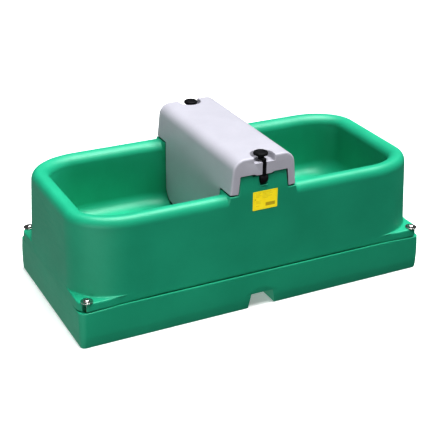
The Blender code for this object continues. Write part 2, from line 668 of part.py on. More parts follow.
core = prism("cover_core", [(-0.0860, 0.4050), (0.0860, 0.4050), (0.0860, 0.4130), (0.0775, 0.4305), (0.0560, 0.4396),
                            (-0.0560, 0.4396), (-0.0775, 0.4305), (-0.0860, 0.4130)], -0.1700, 0.1700, 'Y', FOAM)

# ---------------------------------------------------------------- latches


def latch(name, sy):
    foot = turn(name + "_barrel", [(0, -0.0108), (0.0108, -0.0108), (0.0115, -0.0101), (0.0115, 0.0101), (0.0108, 0.0108), (0, 0.0108)],
                16, (0, sy * LATCH_Y, LATCH_Z), 'X')
    for v in foot.data.vertices:
        v.co.x *= 0.94 + 0.10 * (v.co.z - (LATCH_Z - 0.0115)) / 0.0230
    w = 0.0043
    side = [(sy * p[0], p[1]) for p in ((0.2100, 0.4300), (0.2275, 0.4295), (0.2285, 0.3800), (0.2365, 0.3830),
                                        (0.2365, 0.4335), (0.2345, 0.4372), (0.2100, 0.4378))]
    strap = prism(name + "_strap", side, -w, w, 'X')
    head = turn(name, [(0, 0.4288), (0.00725, 0.4288), (0.00725, 0.4372), (0.0222, 0.4424), (0.0233, 0.4432), (0.0235, 0.4440),
                       (0.0235, 0.4462), (0.0228, 0.4474), (0.0205, 0.4484), (0.0180, 0.4500), (0.0155, 0.4502),
                       (0.0132, 0.4484), (0, 0.4483)], 22, (0, sy * HEAD_Y, 0), material=RUBBER)
    boolean(head, strap, 'UNION')
    boolean(head, foot, 'UNION')
    set_origin(head, (0, sy * LATCH_Y, LATCH_Z))
    return head


latch("latch_front", -1)
latch("latch_back", 1)

# ---------------------------------------------------------------- insulating jacket round and under the bowl


def jacket_in(deg):
    def f(st):
        phi = math.radians(deg)
        return fillet_point(st, phi, lerp(0.0068, 0.0155, deg / 90.0))
    return f


jacket = grid_solid("bowl_insulation", JACKET_STATIONS, [
    jacket_in(90), jacket_in(60), jacket_in(30), fillet_start(0.0068), inner_level(0.300, 0.0068), inner_level(0.300, 0.0300),
    inner_level(0.190, 0.0300), lambda st: (*bowl_plan(st, 0.190, 0.0180), 0.1400),
    lambda st: (*bowl_plan(st, 0.190, 0.0050), 0.1245)], [(8, 0)], FOAM, closed=True)

# ---------------------------------------------------------------- heating
PLATE_X0, PLATE_X1, PLATE_Y = 0.105, 0.365, 0.100
for tag, s in (("left", -1), ("right", 1)):
    cx = s * (PLATE_X0 + PLATE_X1) / 2
    prism("heat_spreader_" + tag, rounded((PLATE_X1 - PLATE_X0) / 2, PLATE_Y, 0.012, cx, 0, 3), 0.1562, 0.1577, 'Z', ALU)

CABLE_R = 0.0026
CABLE_Z = 0.1562 - 0.0004 - CABLE_R


def serpentine(s, entry_y):
    """Flat run under the plate: out along one side and back, turning at each end."""
    pts = []
    lanes = [-0.066, -0.022, 0.022, 0.066]
    x0, x1 = 0.128, 0.342
    for i, y in enumerate(lanes):
        run = (x0, x1) if i % 2 == 0 else (x1, x0)
        pts.append((s * run[0], y, CABLE_Z))
        pts.append((s * (run[0] * 0.5 + run[1] * 0.5), y, CABLE_Z))
        pts.append((s * run[1], y, CABLE_Z))
        if i < 3:
            sgn = 1 if i % 2 == 0 else -1
            pts.append((s * (run[1] + sgn * 0.017), y + 0.022, CABLE_Z))
    return pts


HOLE_R = (0.088, -0.060)
HOLE_L = (-0.088, -0.060)
right_route = [(HOLE_R[0], HOLE_R[1], 0.108), (HOLE_R[0], HOLE_R[1], 0.138), (0.0945, -0.0625, 0.1505), (0.108, -0.066, CABLE_Z)] + serpentine(1, 0)
left_route = [(HOLE_L[0], HOLE_L[1], 0.108), (HOLE_L[0], HOLE_L[1], 0.138), (-0.0945, -0.0625, 0.1505), (-0.108, -0.066, CABLE_Z)] + serpentine(-1, 0)
box_top = 0.0543
right_route = [(0.128, -0.022, 0.030), (0.128, -0.022, 0.046), (0.128, -0.022, box_top + 0.008), (0.122, -0.034, 0.082), (0.094, -0.058, 0.098)] + right_route
left_route = [(0.128, 0.018, 0.030), (0.128, 0.018, 0.046), (0.128, 0.018, box_top + 0.008), (0.118, 0.014, 0.074), (0.100, 0.012, 0.080), (0.040, -0.030, 0.096), (-0.070, -0.058, 0.100)] + left_route
tube("heating_cable_right", smooth_route(right_route, 0.026), CABLE_R, 6, RED)
tube("heating_cable_left", smooth_route(left_route, 0.026), CABLE_R, 6, RED)
jacket_holes = [hole("jacket_riser_hole", 0.0200, 0.110, 0.175, 20, (0, RISER_Y, 0)),
                hole("jacket_drain_hole", 0.0250, 0.110, 0.175, 20, (0, DRAIN_Y, 0))]
for tag, sx in (("r", 1), ("l", -1)):
    x0, x1 = sorted((sx * 0.0800, sx * 0.1120))
    jacket_holes.append(block("jacket_cable_slot_" + tag, (x0, -0.0725, 0.1100), (x1, -0.0530, 0.1750)))
boolean(jacket, gather("jacket_holes", jacket_holes))

turn("thermostat", [(0, 0.1492), (0.0085, 0.1492), (0.0085, 0.1530), (0.0120, 0.1534), (0.0120, 0.1577), (0, 0.1577)],
     20, (0.040, 0.040, 0), material=BLACK)

# junction box on the base floor
jb = prism("junction_box", rounded(0.0550, 0.0400, 0.006, BOX_X, BOX_Y, 3), 0.0063, 0.0500, 'Z', DARKGREY)
boolean(jb, prism("box_hollow", rounded(0.0520, 0.0370, 0.004, BOX_X, BOX_Y, 3), 0.0095, 0.0600))
POSTS = [(BOX_X + sx * 0.0470, BOX_Y + sy * 0.0320) for sx, sy in ((-1, -1), (1, -1), (1, 1), (-1, 1))]
boolean(jb, gather("box_posts", [hole("box_post_%d" % i, 0.0064, 0.0080, 0.0488, 14, (px, py, 0)) for i, (px, py) in enumerate(POSTS)]),
        'UNION')
boolean(jb, gather("box_pilots", [hole("box_pilot_%d" % i, 0.0018, 0.0340, 0.0560, 10, (px, py, 0)) for i, (px, py) in enumerate(POSTS)]))
lid = prism("junction_lid", rounded(0.0550, 0.0400, 0.006, BOX_X, BOX_Y, 3), 0.0503, 0.0543, 'Z', DARKGREY)
lid_holes = [hole("lid_cable_hole_%d" % i, 0.0040, 0.0450, 0.0600, 12, (hx, hy, 0)) for i, (hx, hy) in enumerate(((0.128, -0.022), (0.128, 0.018)))]
lid_holes += [hole("lid_screw_hole_%d" % i, 0.0019, 0.0450, 0.0600, 10, (px, py, 0)) for i, (px, py) in enumerate(POSTS)]
boolean(lid, gather("lid_holes", lid_holes))
for i, (px, py) in enumerate(POSTS):
    turn("lid_screw_%d" % (i + 1), [(0, 0.0380), (0.0015, 0.0380), (0.0015, 0.0546), (0.0033, 0.0546), (0.0033, 0.0558),
                                    (0.0022, 0.0568), (0, 0.0570)], 12, (px, py, 0), material=STAINLESS)

# cable gland through the channel roof, mouth downwards
turn("gland_body", [(0.0056, 0.0360), (0.0110, 0.0360), (0.0110, 0.0437), (0.0080, 0.0437), (0.0080, 0.0640), (0.0056, 0.0640)],
     24, (0, GLAND_Y, 0), material=BLACK, hexes=(1, 2))
turn("gland_locknut", [(0.0083, 0.0503), (0.0120, 0.0503), (0.0120, 0.0560), (0.0083, 0.0560)], 24, (0, GLAND_Y, 0),
     material=BLACK, hexes=(1, 2))
turn("gland_cap", [(0.0050, 0.0190), (0.0078, 0.0190), (0.0100, 0.0215), (0.0108, 0.0250), (0.0108, 0.0357), (0.0050, 0.0357)],
     24, (0, GLAND_Y, 0), material=BLACK, hexes=(3, 4))

# ---------------------------------------------------------------- water inlet and float valve
turn("supply_riser", [(0.0075, 0.0120), (0.0105, 0.0120), (0.0105, 0.1480), (0.0165, 0.1480), (0.0165, 0.1577), (0.0105, 0.1577),
                      (0.0105, 0.2810), (0.0075, 0.2810)], 24, (0, RISER_Y, 0), material=BRASS)
turn("riser_seal", [(0.0108, 0.1643), (0.0175, 0.1643), (0.0175, 0.1669), (0.0108, 0.1669)], 24, (0, RISER_Y, 0), material=RUBBER)
turn("riser_locknut", [(0.0108, 0.1672), (0.0150, 0.1672), (0.0150, 0.1752), (0.0108, 0.1752)], 24, (0, RISER_Y, 0),
     material=BRASS, hexes=(1, 2))

valve = turn("valve_body", [(0, 0.2813), (0.0104, 0.2813), (0.0104, 0.2838), (0.0090, 0.2838), (0.0090, 0.3120), (0, 0.3120)],
             24, (0, RISER_Y, 0), material=BRASS)
boolean(valve, turn("valve_barrel", [(0, 0.0780), (0.0120, 0.0780), (0.0120, 0.1250), (0.0090, 0.1280), (0, 0.1280)], 24,
                    (0, 0, 0.3100), 'Y'), 'UNION')
for s, tag in ((-1, "a"), (1, "b")):
    x0, x1 = sorted((s * 0.0042, s * 0.0076))
    boolean(valve, prism("cheek_" + tag, [(0.0640, 0.2925), (0.0660, 0.2900), (0.0740, 0.2900), (0.0860, 0.2985), (0.0860, 0.3040),
                                          (0.0660, 0.3040), (0.0640, 0.3020)], x0, x1, 'X'), 'UNION')
boolean(valve, hole("valve_bore", 0.0054, 0.0500, 0.1130, 20, (0, 0, 0.3100), 'Y'))
boolean(valve, hole("valve_inlet", 0.0046, 0.2700, 0.3090, 16, (0, RISER_Y + 0.0007, 0)))
boolean(valve, hole("pin_hole", 0.0022, -0.0200, 0.0200, 12, (0, PIVOT_Y, PIVOT_Z), 'X'))
turn("valve_union_nut", [(0.0108, 0.2680), (0.0140, 0.2680), (0.0140, 0.2890), (0.0093, 0.2890), (0.0093, 0.2842), (0.0108, 0.2842)],
     24, (0, RISER_Y, 0), material=BRASS, hexes=(1, 2))
plunger = turn("valve_plunger", [(0, 0.0745), (0.0042, 0.0745), (0.0050, 0.0755), (0.0050, 0.1020), (0, 0.1020)], 20,
               (0, 0, 0.3100), 'Y', BRASS)
set_origin(plunger, (0, 0.0900, 0.3100))
turn("lever_pin", [(0, -0.0090), (0.0019, -0.0090), (0.0019, 0.0090), (0, 0.0090)], 14, (0, PIVOT_Y, PIVOT_Z), 'X', STAINLESS)

# lever: boss on the pin, finger against the plunger, rod out to the float
ad = Vector((0, -math.cos(ARM_REST), math.sin(ARM_REST)))          # along the rod
an = Vector((0, math.sin(ARM_REST), math.cos(ARM_REST)))           # square to it, upwards
pivot = Vector((0, PIVOT_Y, PIVOT_Z))
lever = turn("lever_arm", [(0.0022, -0.0037), (0.0058, -0.0037), (0.0058, 0.0037), (0.0022, 0.0037)], 20, tuple(pivot), 'X', BRASS)
rod = tube("lever_rod", [pivot + ad * 0.0042, pivot + ad * 0.0600, pivot + ad * (FLOAT_AT + FLOAT_L / 2 + 0.0105)], 0.0030, 14)
boolean(lever, rod, 'UNION')
tip = math.radians(-15.0)
fd = Vector((0, math.sin(tip), math.cos(tip)))
fs = Vector((0, math.cos(tip), -math.sin(tip)))
finger = [pivot + fd * 0.0035 - fs * 0.0028, pivot + fd * 0.0035 + fs * 0.0018, pivot + fd * 0.0125 + fs * 0.0018,
          pivot + fd * 0.0142 + fs * 0.0004, pivot + fd * 0.0142 - fs * 0.0016, pivot + fd * 0.0125 - fs * 0.0028]
boolean(lever, prism("lever_finger", [(p.y, p.z) for p in finger], -0.0028, 0.0028, 'X'), 'UNION')
set_origin(lever, pivot)


def along(name, profile, segs, material, hexes=()):
    """Turned piece round the rod, heights measured from the pivot; its origin stays on the pivot."""
    ob = turn(name, profile, segs, (0, 0, 0), 'Z', material, hexes)
    rot = Vector((0, 0, 1)).rotation_difference(ad).to_matrix().to_4x4()
    ob.data.transform(rot)
    ob.location = pivot
    return ob


half = FLOAT_L / 2
prof = [(0.0034, FLOAT_AT - half)]
for i in range(8):
    t = math.pi * i / 7
    r = 0.0075 + (FLOAT_R - 0.0075) * math.sin(t) ** 0.8
    prof.append((r, FLOAT_AT - half * math.cos(t)))
prof.append((0.0034, FLOAT_AT + half))
along("float", prof, 20, ORANGE)
along("float_nut", [(0.0033, FLOAT_AT + half + 0.0004), (0.0050, FLOAT_AT + half + 0.0004), (0.0050, FLOAT_AT + half + 0.0056),
                    (0.0033, FLOAT_AT + half + 0.0056)], 18, BRASS, (1, 2))

# ---------------------------------------------------------------- drain
turn("drain_body", [(0.0100, 0.0380), (0.0130, 0.0380), (0.0130, 0.1672), (0.0200, 0.1672), (0.0200, 0.1695), (0.0192, 0.1702),
                    (0.0100, 0.1702)], 24, (0, DRAIN_Y, 0), material=BLACK)
turn("drain_seal", [(0.0133, 0.1643), (0.0195, 0.1643), (0.0195, 0.1669), (0.0133, 0.1669)], 24, (0, DRAIN_Y, 0), material=RUBBER)
turn("drain_locknut", [(0.0133, 0.1477), (0.0190, 0.1477), (0.0190, 0.1577), (0.0133, 0.1577)], 24, (0, DRAIN_Y, 0),
     material=BLACK, hexes=(1, 2))
plug = turn("drain_plug", [(0, 0.1520), (0.0086, 0.1520), (0.0095, 0.1535), (0.0096, 0.1705), (0.0130, 0.1705), (0.0130, 0.1735),
                           (0.0115, 0.1750), (0.0045, 0.1755), (0.0040, 0.1830), (0.0075, 0.1850), (0.0082, 0.1880), (0.0070, 0.1905),
                           (0, 0.1912)], 16, (0, DRAIN_Y, 0), material=RUBBER)
set_origin(plug, (0, DRAIN_Y, 0.1700))
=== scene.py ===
import json
import math
import bpy
import bmesh
from mathutils import Vector, Matrix


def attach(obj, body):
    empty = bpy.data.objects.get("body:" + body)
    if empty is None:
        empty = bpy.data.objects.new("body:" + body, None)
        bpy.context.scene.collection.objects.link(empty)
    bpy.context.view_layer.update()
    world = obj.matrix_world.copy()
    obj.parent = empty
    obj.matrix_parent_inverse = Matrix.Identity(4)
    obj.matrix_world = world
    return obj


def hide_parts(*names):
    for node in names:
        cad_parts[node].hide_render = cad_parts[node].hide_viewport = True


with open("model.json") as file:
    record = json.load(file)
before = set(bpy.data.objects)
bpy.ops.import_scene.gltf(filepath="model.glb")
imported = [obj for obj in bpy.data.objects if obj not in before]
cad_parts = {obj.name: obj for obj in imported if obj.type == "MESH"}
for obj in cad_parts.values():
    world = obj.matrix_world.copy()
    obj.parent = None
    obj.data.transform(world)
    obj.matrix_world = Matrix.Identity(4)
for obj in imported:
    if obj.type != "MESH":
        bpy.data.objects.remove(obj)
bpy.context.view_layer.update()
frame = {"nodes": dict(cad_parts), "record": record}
scene = bpy.context.scene

# ------------------------------------------------------------------ sizes shared with the CAD, metres
BASE_A, BASE_B, BASE_R = 0.5300, 0.24965, 0.019
BASE_FOOT_A, BASE_FOOT_B = 0.5265, 0.2448
BASE_CHAMFER_Z, BASE_TOP = 0.030, 0.1085
CHANNEL_LOW, CHANNEL_HIGH, CHANNEL_Z, CHANNEL_ROOF = 0.0420, 0.0340, 0.044, 0.050
TUB_Z, EAR_TOP = 0.1115, 0.1300
EAR_A, EAR_B, EAR_CX, EAR_CY = 0.5280, 0.2447, 0.5120, 0.2230
WALL_A, WALL_B, WALL_R = 0.5265, 0.2425, 0.110
RIM_A, RIM_B, RIM_R = 0.5203, 0.2377, 0.138
RIM_Z, RIM_OUT_R, RIM_IN_R, SKIN = 0.3172, 0.030, 0.022, 0.006
BOWL_A, BOWL_B, BOWL_R = 0.4600, 0.1800, 0.080
FLOOR_Z = 0.1640
FILLET_LONG, FILLET_END, SHOULDER = (0.040, 0.036), (0.070, 0.060), 0.0102
LEDGE_X, LEDGE_Z = 0.0985, 0.3445
TAB_X_LOW, TAB_X_TOP, TAB_Z, TAB_LOW_X, TAB_LOW_Z = 0.0766, 0.0714, 0.3970, 0.033, 0.3920
NOTCH_LOW, NOTCH_HIGH, NOTCH_Z0, NOTCH_Z1 = 0.0112, 0.0135, 0.3645, 0.3960
BOLT_X, BOLT_Y = 0.5045, 0.2330
COVER_Y, COVER_TOP = 0.2363, 0.4457
COVER_SIDE_Z, COVER_SIDE_X, COVER_LEG_Z, COVER_LEG_X = 0.4140, 0.0925, 0.3480, 0.0988
COVER_ARC, COVER_SKIN, PANEL_Y = 0.0350, 0.005, 0.1735
DISH_FLOOR, DISH_R, DISH_TOP_R, DISH_CY = 0.4280, 0.0297, 0.0320, 0.2197
LATCH_Y, LATCH_Z, HEAD_Y = 0.2290, 0.3790, 0.2125
RISER_Y, DRAIN_Y, GLAND_Y = 0.108, -0.100, 0.035
PIVOT_Y, PIVOT_Z = 0.070, 0.297
IN_TOP = RIM_Z + RIM_OUT_R - RIM_IN_R
# the rim's round: start and top heights, outer and inner width
RIM_LOW, RIM_TOP, RIM_OUT_H, RIM_IN_H = 0.3160, 0.3440, 0.0210, 0.0310
# the fine surface: corner curves longer along X than along Y, a seam that is open at the sides and shut at the ends
WALL_RR, RIM_RR, BOWL_RR = (0.130, 0.110), (0.155, 0.118), (0.090, 0.077)
SEAM_LONG, SEAM_END, SEAM_BASE = 0.1088, 0.1066, 0.1061
EAR_A, EAR_B = 0.5285, 0.2462
FRONT_B = 0.2478
TAB_X_LOW, TAB_X_TOP, TAB_Z, TAB_LOW_Z = 0.0742, 0.0690, 0.3952, 0.3903
FLARE_Z = 0.168

# ------------------------------------------------------------------ camera at the photograph's angle
YAW, PITCH, ROLL = 0.480948, 0.461851, 0.0212369
fwd = Vector((math.sin(YAW) * math.cos(PITCH), math.cos(YAW) * math.cos(PITCH), -math.sin(PITCH)))
right = fwd.cross(Vector((0, 0, 1))).normalized()
up = right.cross(fwd)
r2 = right * math.cos(ROLL) + up * math.sin(ROLL)
u2 = -right * math.sin(ROLL) + up * math.cos(ROLL)
cam_data = bpy.data.cameras.new("camera")
cam_data.sensor_fit = 'AUTO'
cam_data.sensor_width = 36.0
cam_data.lens = 87.09
cam_data.clip_start, cam_data.clip_end = 0.05, 60.0
cam = bpy.data.objects.new("camera", cam_data)
scene.collection.objects.link(cam)
m = Matrix.Identity(4)
for row in range(3):
    m[row][0], m[row][1], m[row][2] = r2[row], u2[row], -fwd[row]
m.translation = Vector((-1.302922, -2.486747, 1.540822))
cam.matrix_world = m
scene.camera = cam

# ------------------------------------------------------------------ node material helpers


class Mat:
    def __init__(self, name):
        self.m = bpy.data.materials.new(name)
        self.m.use_nodes = True
        self.t = self.m.node_tree
        self.b = self.t.nodes["Principled BSDF"]
        self.co = self.t.nodes.new("ShaderNodeTexCoord").outputs["Object"]

    def node(self, kind, **props):
        n = self.t.nodes.new(kind)
        for k, v in props.items():
            setattr(n, k, v)
        return n

    def link(self, a, b):
        self.t.links.new(a, b)

    def put(self, socket, value):
        if isinstance(value, (int, float)):
            socket.default_value = value
        elif isinstance(value, (tuple, list)):
            socket.default_value = (*value, 1.0) if len(value) == 3 and len(socket.default_value) == 4 else value
        else:
            self.link(value, socket)

    def math(self, op, a, b=0.0, c=None, clamp=False):
        n = self.node("ShaderNodeMath", operation=op, use_clamp=clamp)
        self.put(n.inputs[0], a)
        self.put(n.inputs[1], b)
        if c is not None:
            self.put(n.inputs[2], c)
        return n.outputs[0]

    def scaled(self, s):
        n = self.node("ShaderNodeMapping")
        self.link(self.co, n.inputs["Vector"])
        n.inputs["Scale"].default_value = s
        return n.outputs["Vector"]

    def noise(self, scale, detail=3.0, rough=0.5, vector=None, distortion=0.0):
        n = self.node("ShaderNodeTexNoise")
        self.link(vector or self.co, n.inputs["Vector"])
        n.inputs["Scale"].default_value = scale
        n.inputs["Detail"].default_value = detail
        n.inputs["Roughness"].default_value = rough
        n.inputs["Distortion"].default_value = distortion
        return n.outputs["Fac"]

    def ramp(self, fac, stops):
        n = self.node("ShaderNodeValToRGB")
        self.link(fac, n.inputs["Fac"])
        el = n.color_ramp.elements
        while len(el) < len(stops):
            el.new(0.5)
        for e, (p, c) in zip(el, stops):
            e.position = p
            e.color = (*c, 1.0) if isinstance(c, (tuple, list)) else (c, c, c, 1.0)
        return n.outputs["Color"]

    def remap(self, fac, a, b, lo, hi):
        n = self.node("ShaderNodeMapRange")
        self.link(fac, n.inputs["Value"])
        n.inputs["From Min"].default_value, n.inputs["From Max"].default_value = a, b
        n.inputs["To Min"].default_value, n.inputs["To Max"].default_value = lo, hi
        return n.outputs["Result"]

    def mix(self, fac, a, b, mode='MIX'):
        n = self.node("ShaderNodeMix", data_type='RGBA', blend_type=mode)
        self.put(n.inputs["Factor"], fac)
        self.put(n.inputs[6], a)
        self.put(n.inputs[7], b)
        return n.outputs[2]

    def bump(self, height, distance, strength=1.0, normal=None):
        n = self.node("ShaderNodeBump")
        n.inputs["Strength"].default_value = strength
        n.inputs["Distance"].default_value = distance
        self.link(height, n.inputs["Height"])
        if normal is not None:
            self.link(normal, n.inputs["Normal"])
        return n.outputs["Normal"]

    def finish(self, **sockets):
        for k, v in sockets.items():
            self.put(self.b.inputs[k.replace("_", " ")], v)
        return self.m


def moulded(name, dark, light, rough_lo, rough_hi, specular=0.5, grain=1.0, wave=1.0, scuff=0.0, scuff_colour=(0.6, 0.6, 0.6)):
    """Rotation-moulded plastic: faint cloudy tone, shallow waviness, fine orange-peel grain, light rub marks."""
    t = Mat(name)
    cloud = t.noise(7.0, 4.0, 0.55)
    speck = t.noise(260.0, 2.0, 0.6)
    tone = t.math('ADD', t.math('MULTIPLY', cloud, 0.8), t.math('MULTIPLY', speck, 0.2))
    colour = t.ramp(tone, [(0.36, dark), (0.66, light)])
    rub = t.noise(22.0, 6.0, 0.7, t.scaled((1.0, 1.0, 6.0)), 0.6)
    if scuff > 0:
        colour = t.mix(t.remap(rub, 0.62, 0.80, 0.0, scuff), colour, scuff_colour)
    fine = t.noise(1500.0, 2.0, 0.5)
    mid = t.noise(240.0, 2.0, 0.5)
    big = t.noise(9.0, 1.0, 0.4)
    n = t.bump(big, 0.0040 * wave, 0.30)
    n = t.bump(mid, 0.00022 * grain, 0.45, n)
    n = t.bump(fine, 0.00006 * grain, 0.60, n)
    return t.finish(Base_Color=colour, Roughness=t.remap(rub, 0.3, 0.75, rough_lo, rough_hi), Specular_IOR_Level=specular, Normal=n)


GREEN = moulded("green_polyethylene", (0.014, 0.370, 0.218), (0.020, 0.420, 0.250), 0.41, 0.51, 0.5, scuff=0.05,
                scuff_colour=(0.08, 0.50, 0.33))
# painted light: the base's copy of the green is a little lighter than the tub's, standing in for the low light that
# falls on the base
GREEN_BASE_PAINTED_LIGHTER = moulded("green_polyethylene_base_painted_lighter", (0.017, 0.385, 0.226), (0.023, 0.435, 0.258), 0.38, 0.48, 0.48, scuff=0.06,
                     scuff_colour=(0.08, 0.48, 0.32))
GREY = moulded("grey_polyethylene", (0.385, 0.382, 0.425), (0.422, 0.419, 0.464), 0.42, 0.54, 0.32, wave=0.6, scuff=0.05,
               scuff_colour=(0.52, 0.52, 0.55))


def rubber(name):
    t = Mat(name)
    dust = t.noise(45.0, 5.0, 0.65)
    fine = t.noise(1800.0, 2.0, 0.5)
    mid = t.noise(300.0, 3.0, 0.5)
    n = t.bump(fine, 0.00006, 0.5, t.bump(mid, 0.00015, 0.35))
    return t.finish(Base_Color=t.ramp(dust, [(0.35, (0.006, 0.006, 0.007)), (0.75, (0.015, 0.015, 0.018))]),
                    Roughness=t.remap(dust, 0.3, 0.8, 0.42, 0.62), Specular_IOR_Level=0.10, Normal=n)


def metal(name, dark, light, rough_lo, rough_hi, stretch=(1.0, 1.0, 1.0), scale=220.0):
    t = Mat(name)
    v = t.scaled(stretch)
    streak = t.noise(scale, 4.0, 0.6, v)
    stain = t.noise(28.0, 4.0, 0.6)
    n = t.bump(streak, 0.00003, 0.5)
    return t.finish(Base_Color=t.ramp(stain, [(0.30, dark), (0.70, light)]), Metallic=1.0,
                    Roughness=t.remap(streak, 0.3, 0.7, rough_lo, rough_hi), Normal=n)


def foam(name, dark, light):
    t = Mat(name)
    cell = t.node("ShaderNodeTexVoronoi")
    t.link(t.co, cell.inputs["Vector"])
    cell.inputs["Scale"].default_value = 420.0
    n = t.bump(cell.outputs["Distance"], 0.0006, 0.6)
    return t.finish(Base_Color=t.ramp(cell.outputs["Distance"], [(0.05, light), (0.70, dark)]),
                    Roughness=t.remap(cell.outputs["Distance"], 0.0, 0.8, 0.82, 0.95), Normal=n)


RUBBER = rubber("black_rubber")
STAINLESS = metal("stainless_steel", (0.56, 0.55, 0.54), (0.72, 0.71, 0.70), 0.16, 0.30)
BRASS = metal("brass", (0.52, 0.34, 0.12), (0.78, 0.57, 0.26), 0.22, 0.38, (1.0, 1.0, 3.0))
ALU = metal("aluminium", (0.70, 0.71, 0.72), (0.82, 0.83, 0.84), 0.28, 0.42, (1.0, 12.0, 1.0))
FOAM = foam("insulating_foam", (0.45, 0.40, 0.27), (0.72, 0.67, 0.50))
BLACK = moulded("black_nylon", (0.018, 0.018, 0.020), (0.034, 0.034, 0.038), 0.36, 0.50, 0.5, wave=0.1)
BOXPL = moulded("box_plastic", (0.16, 0.17, 0.18), (0.21, 0.22, 0.23), 0.42, 0.55, 0.45, wave=0.1)
FLOATP = moulded("float_plastic", (0.62, 0.13, 0.03), (0.74, 0.19, 0.05), 0.30, 0.42, 0.5, wave=0.2)
SHEATH = moulded("cable_sheath", (0.36, 0.03, 0.025), (0.48, 0.055, 0.04), 0.40, 0.52, 0.45, wave=0.1)

LABEL_X, LABEL_Z = (-0.0330, 0.0420), (0.2932, 0.3476)


def label_material():
    """Yellow film printed with plain bars and blank fields only."""
    t = Mat("yellow_label")
    sep = t.node("ShaderNodeSeparateXYZ")
    t.link(t.co, sep.inputs[0])
    u = t.remap(sep.outputs["X"], LABEL_X[0], LABEL_X[1], 0.0, 1.0)
    v = t.remap(sep.outputs["Z"], LABEL_Z[0], LABEL_Z[1], 0.0, 1.0)

    def rect(u0, u1, v0, v1, soft=0.004):
        a = t.math('MULTIPLY', t.remap(u, u0 - soft, u0 + soft, 0, 1), t.remap(u, u1 - soft, u1 + soft, 1, 0))
        b = t.math('MULTIPLY', t.remap(v, v0 - soft, v0 + soft, 0, 1), t.remap(v, v1 - soft, v1 + soft, 1, 0))
        return t.math('MULTIPLY', a, b)

    def total(items):
        acc = items[0]
        for k in items[1:]:
            acc = t.math('MAXIMUM', acc, k)
        return acc

    bars = [rect(0.12, 0.12 + w, y, y + 0.022) for y, w in ((0.86, 0.20), (0.80, 0.16), (0.74, 0.22), (0.68, 0.14))]
    bars += [rect(0.38, 0.38 + w, y, y + 0.026) for y, w in ((0.88, 0.36), (0.81, 0.42), (0.74, 0.30), (0.67, 0.38), (0.60, 0.24))]
    bars += [rect(0.13, 0.13 + w, y, y + 0.022) for y, w in ((0.46, 0.22), (0.40, 0.18), (0.34, 0.22), (0.20, 0.14))]
    dark = [rect(0.52, 0.90, 0.16, 0.34)]
    dark += [rect(0.085, 0.125, 0.545, 0.60)]
    frame_line = t.math('SUBTRACT', rect(0.045, 0.955, 0.06, 0.94), rect(0.058, 0.942, 0.078, 0.922))
    grime = t.noise(90.0, 4.0, 0.6)
    film = t.ramp(grime, [(0.3, (0.96, 0.76, 0.020)), (0.7, (0.99, 0.84, 0.035))])
    ink = t.mix(t.math('MULTIPLY', total(bars), 0.42), film, (0.42, 0.30, 0.02))
    ink = t.mix(t.math('MULTIPLY', total(dark), 0.60), ink, (0.24, 0.15, 0.02))
    ink = t.mix(t.math('MULTIPLY', frame_line, 0.35), ink, (0.45, 0.33, 0.02))
    n = t.bump(t.noise(500.0, 2.0, 0.5), 0.00005, 0.4)
    return t.finish(Base_Color=ink, Roughness=t.remap(grime, 0.3, 0.7, 0.30, 0.42), Specular_IOR_Level=0.45, Normal=n)


LABEL = label_material()

# ------------------------------------------------------------------ mesh helpers


def lerp(a, b, t):
    return a + (b - a) * t


def smoothstep(t):
    t = max(0.0, min(1.0, t))
    return t * t * (3 - 2 * t)


def make(name, verts, faces, material, sharp=35.0):
    me = bpy.data.meshes.new(name)
    me.from_pydata([tuple(v) for v in verts], [], faces)
    bm = bmesh.new()
    bm.from_mesh(me)
    bmesh.ops.remove_doubles(bm, verts=bm.verts, dist=1e-7)
    bmesh.ops.recalc_face_normals(bm, faces=bm.faces)
    if bm.calc_volume(signed=True) < 0:
        bmesh.ops.reverse_faces(bm, faces=bm.faces)
    bm.to_mesh(me)
    bm.free()
    ob = bpy.data.objects.new(name, me)
    scene.collection.objects.link(ob)
    if material:
        me.materials.append(material)
    shade(ob, sharp)
    return ob


def shade(ob, sharp):
    ob.data.shade_smooth()
    ob.data.set_sharp_from_angle(angle=math.radians(sharp))


def apply_all(ob, sharp=35.0):
    dg = bpy.context.evaluated_depsgraph_get()
    me = bpy.data.meshes.new_from_object(ob.evaluated_get(dg))
    mats = list(ob.data.materials)
    ob.modifiers.clear()
    ob.data = me
    me.materials.clear()
    for k in mats[:1]:
        me.materials.append(k)
    for p in me.polygons:
        p.material_index = 0
    shade(ob, sharp)
    return ob


def boolean(ob, other, op='DIFFERENCE'):
    mod = ob.modifiers.new(other.name, 'BOOLEAN')
    mod.operation = op
    mod.solver = 'EXACT'
    mod.object = other
    bpy.context.view_layer.update()
    apply_all(ob)
    bpy.data.objects.remove(other, do_unlink=True)
    return ob


def place(verts, axis, centre):
    rot = {'Z': Matrix.Identity(4), 'X': Matrix.Rotation(math.pi / 2, 4, 'Y'), 'Y': Matrix.Rotation(-math.pi / 2, 4, 'X')}[axis] \
        if isinstance(axis, str) else axis
    return [rot @ Vector(v) + Vector(centre) for v in verts]


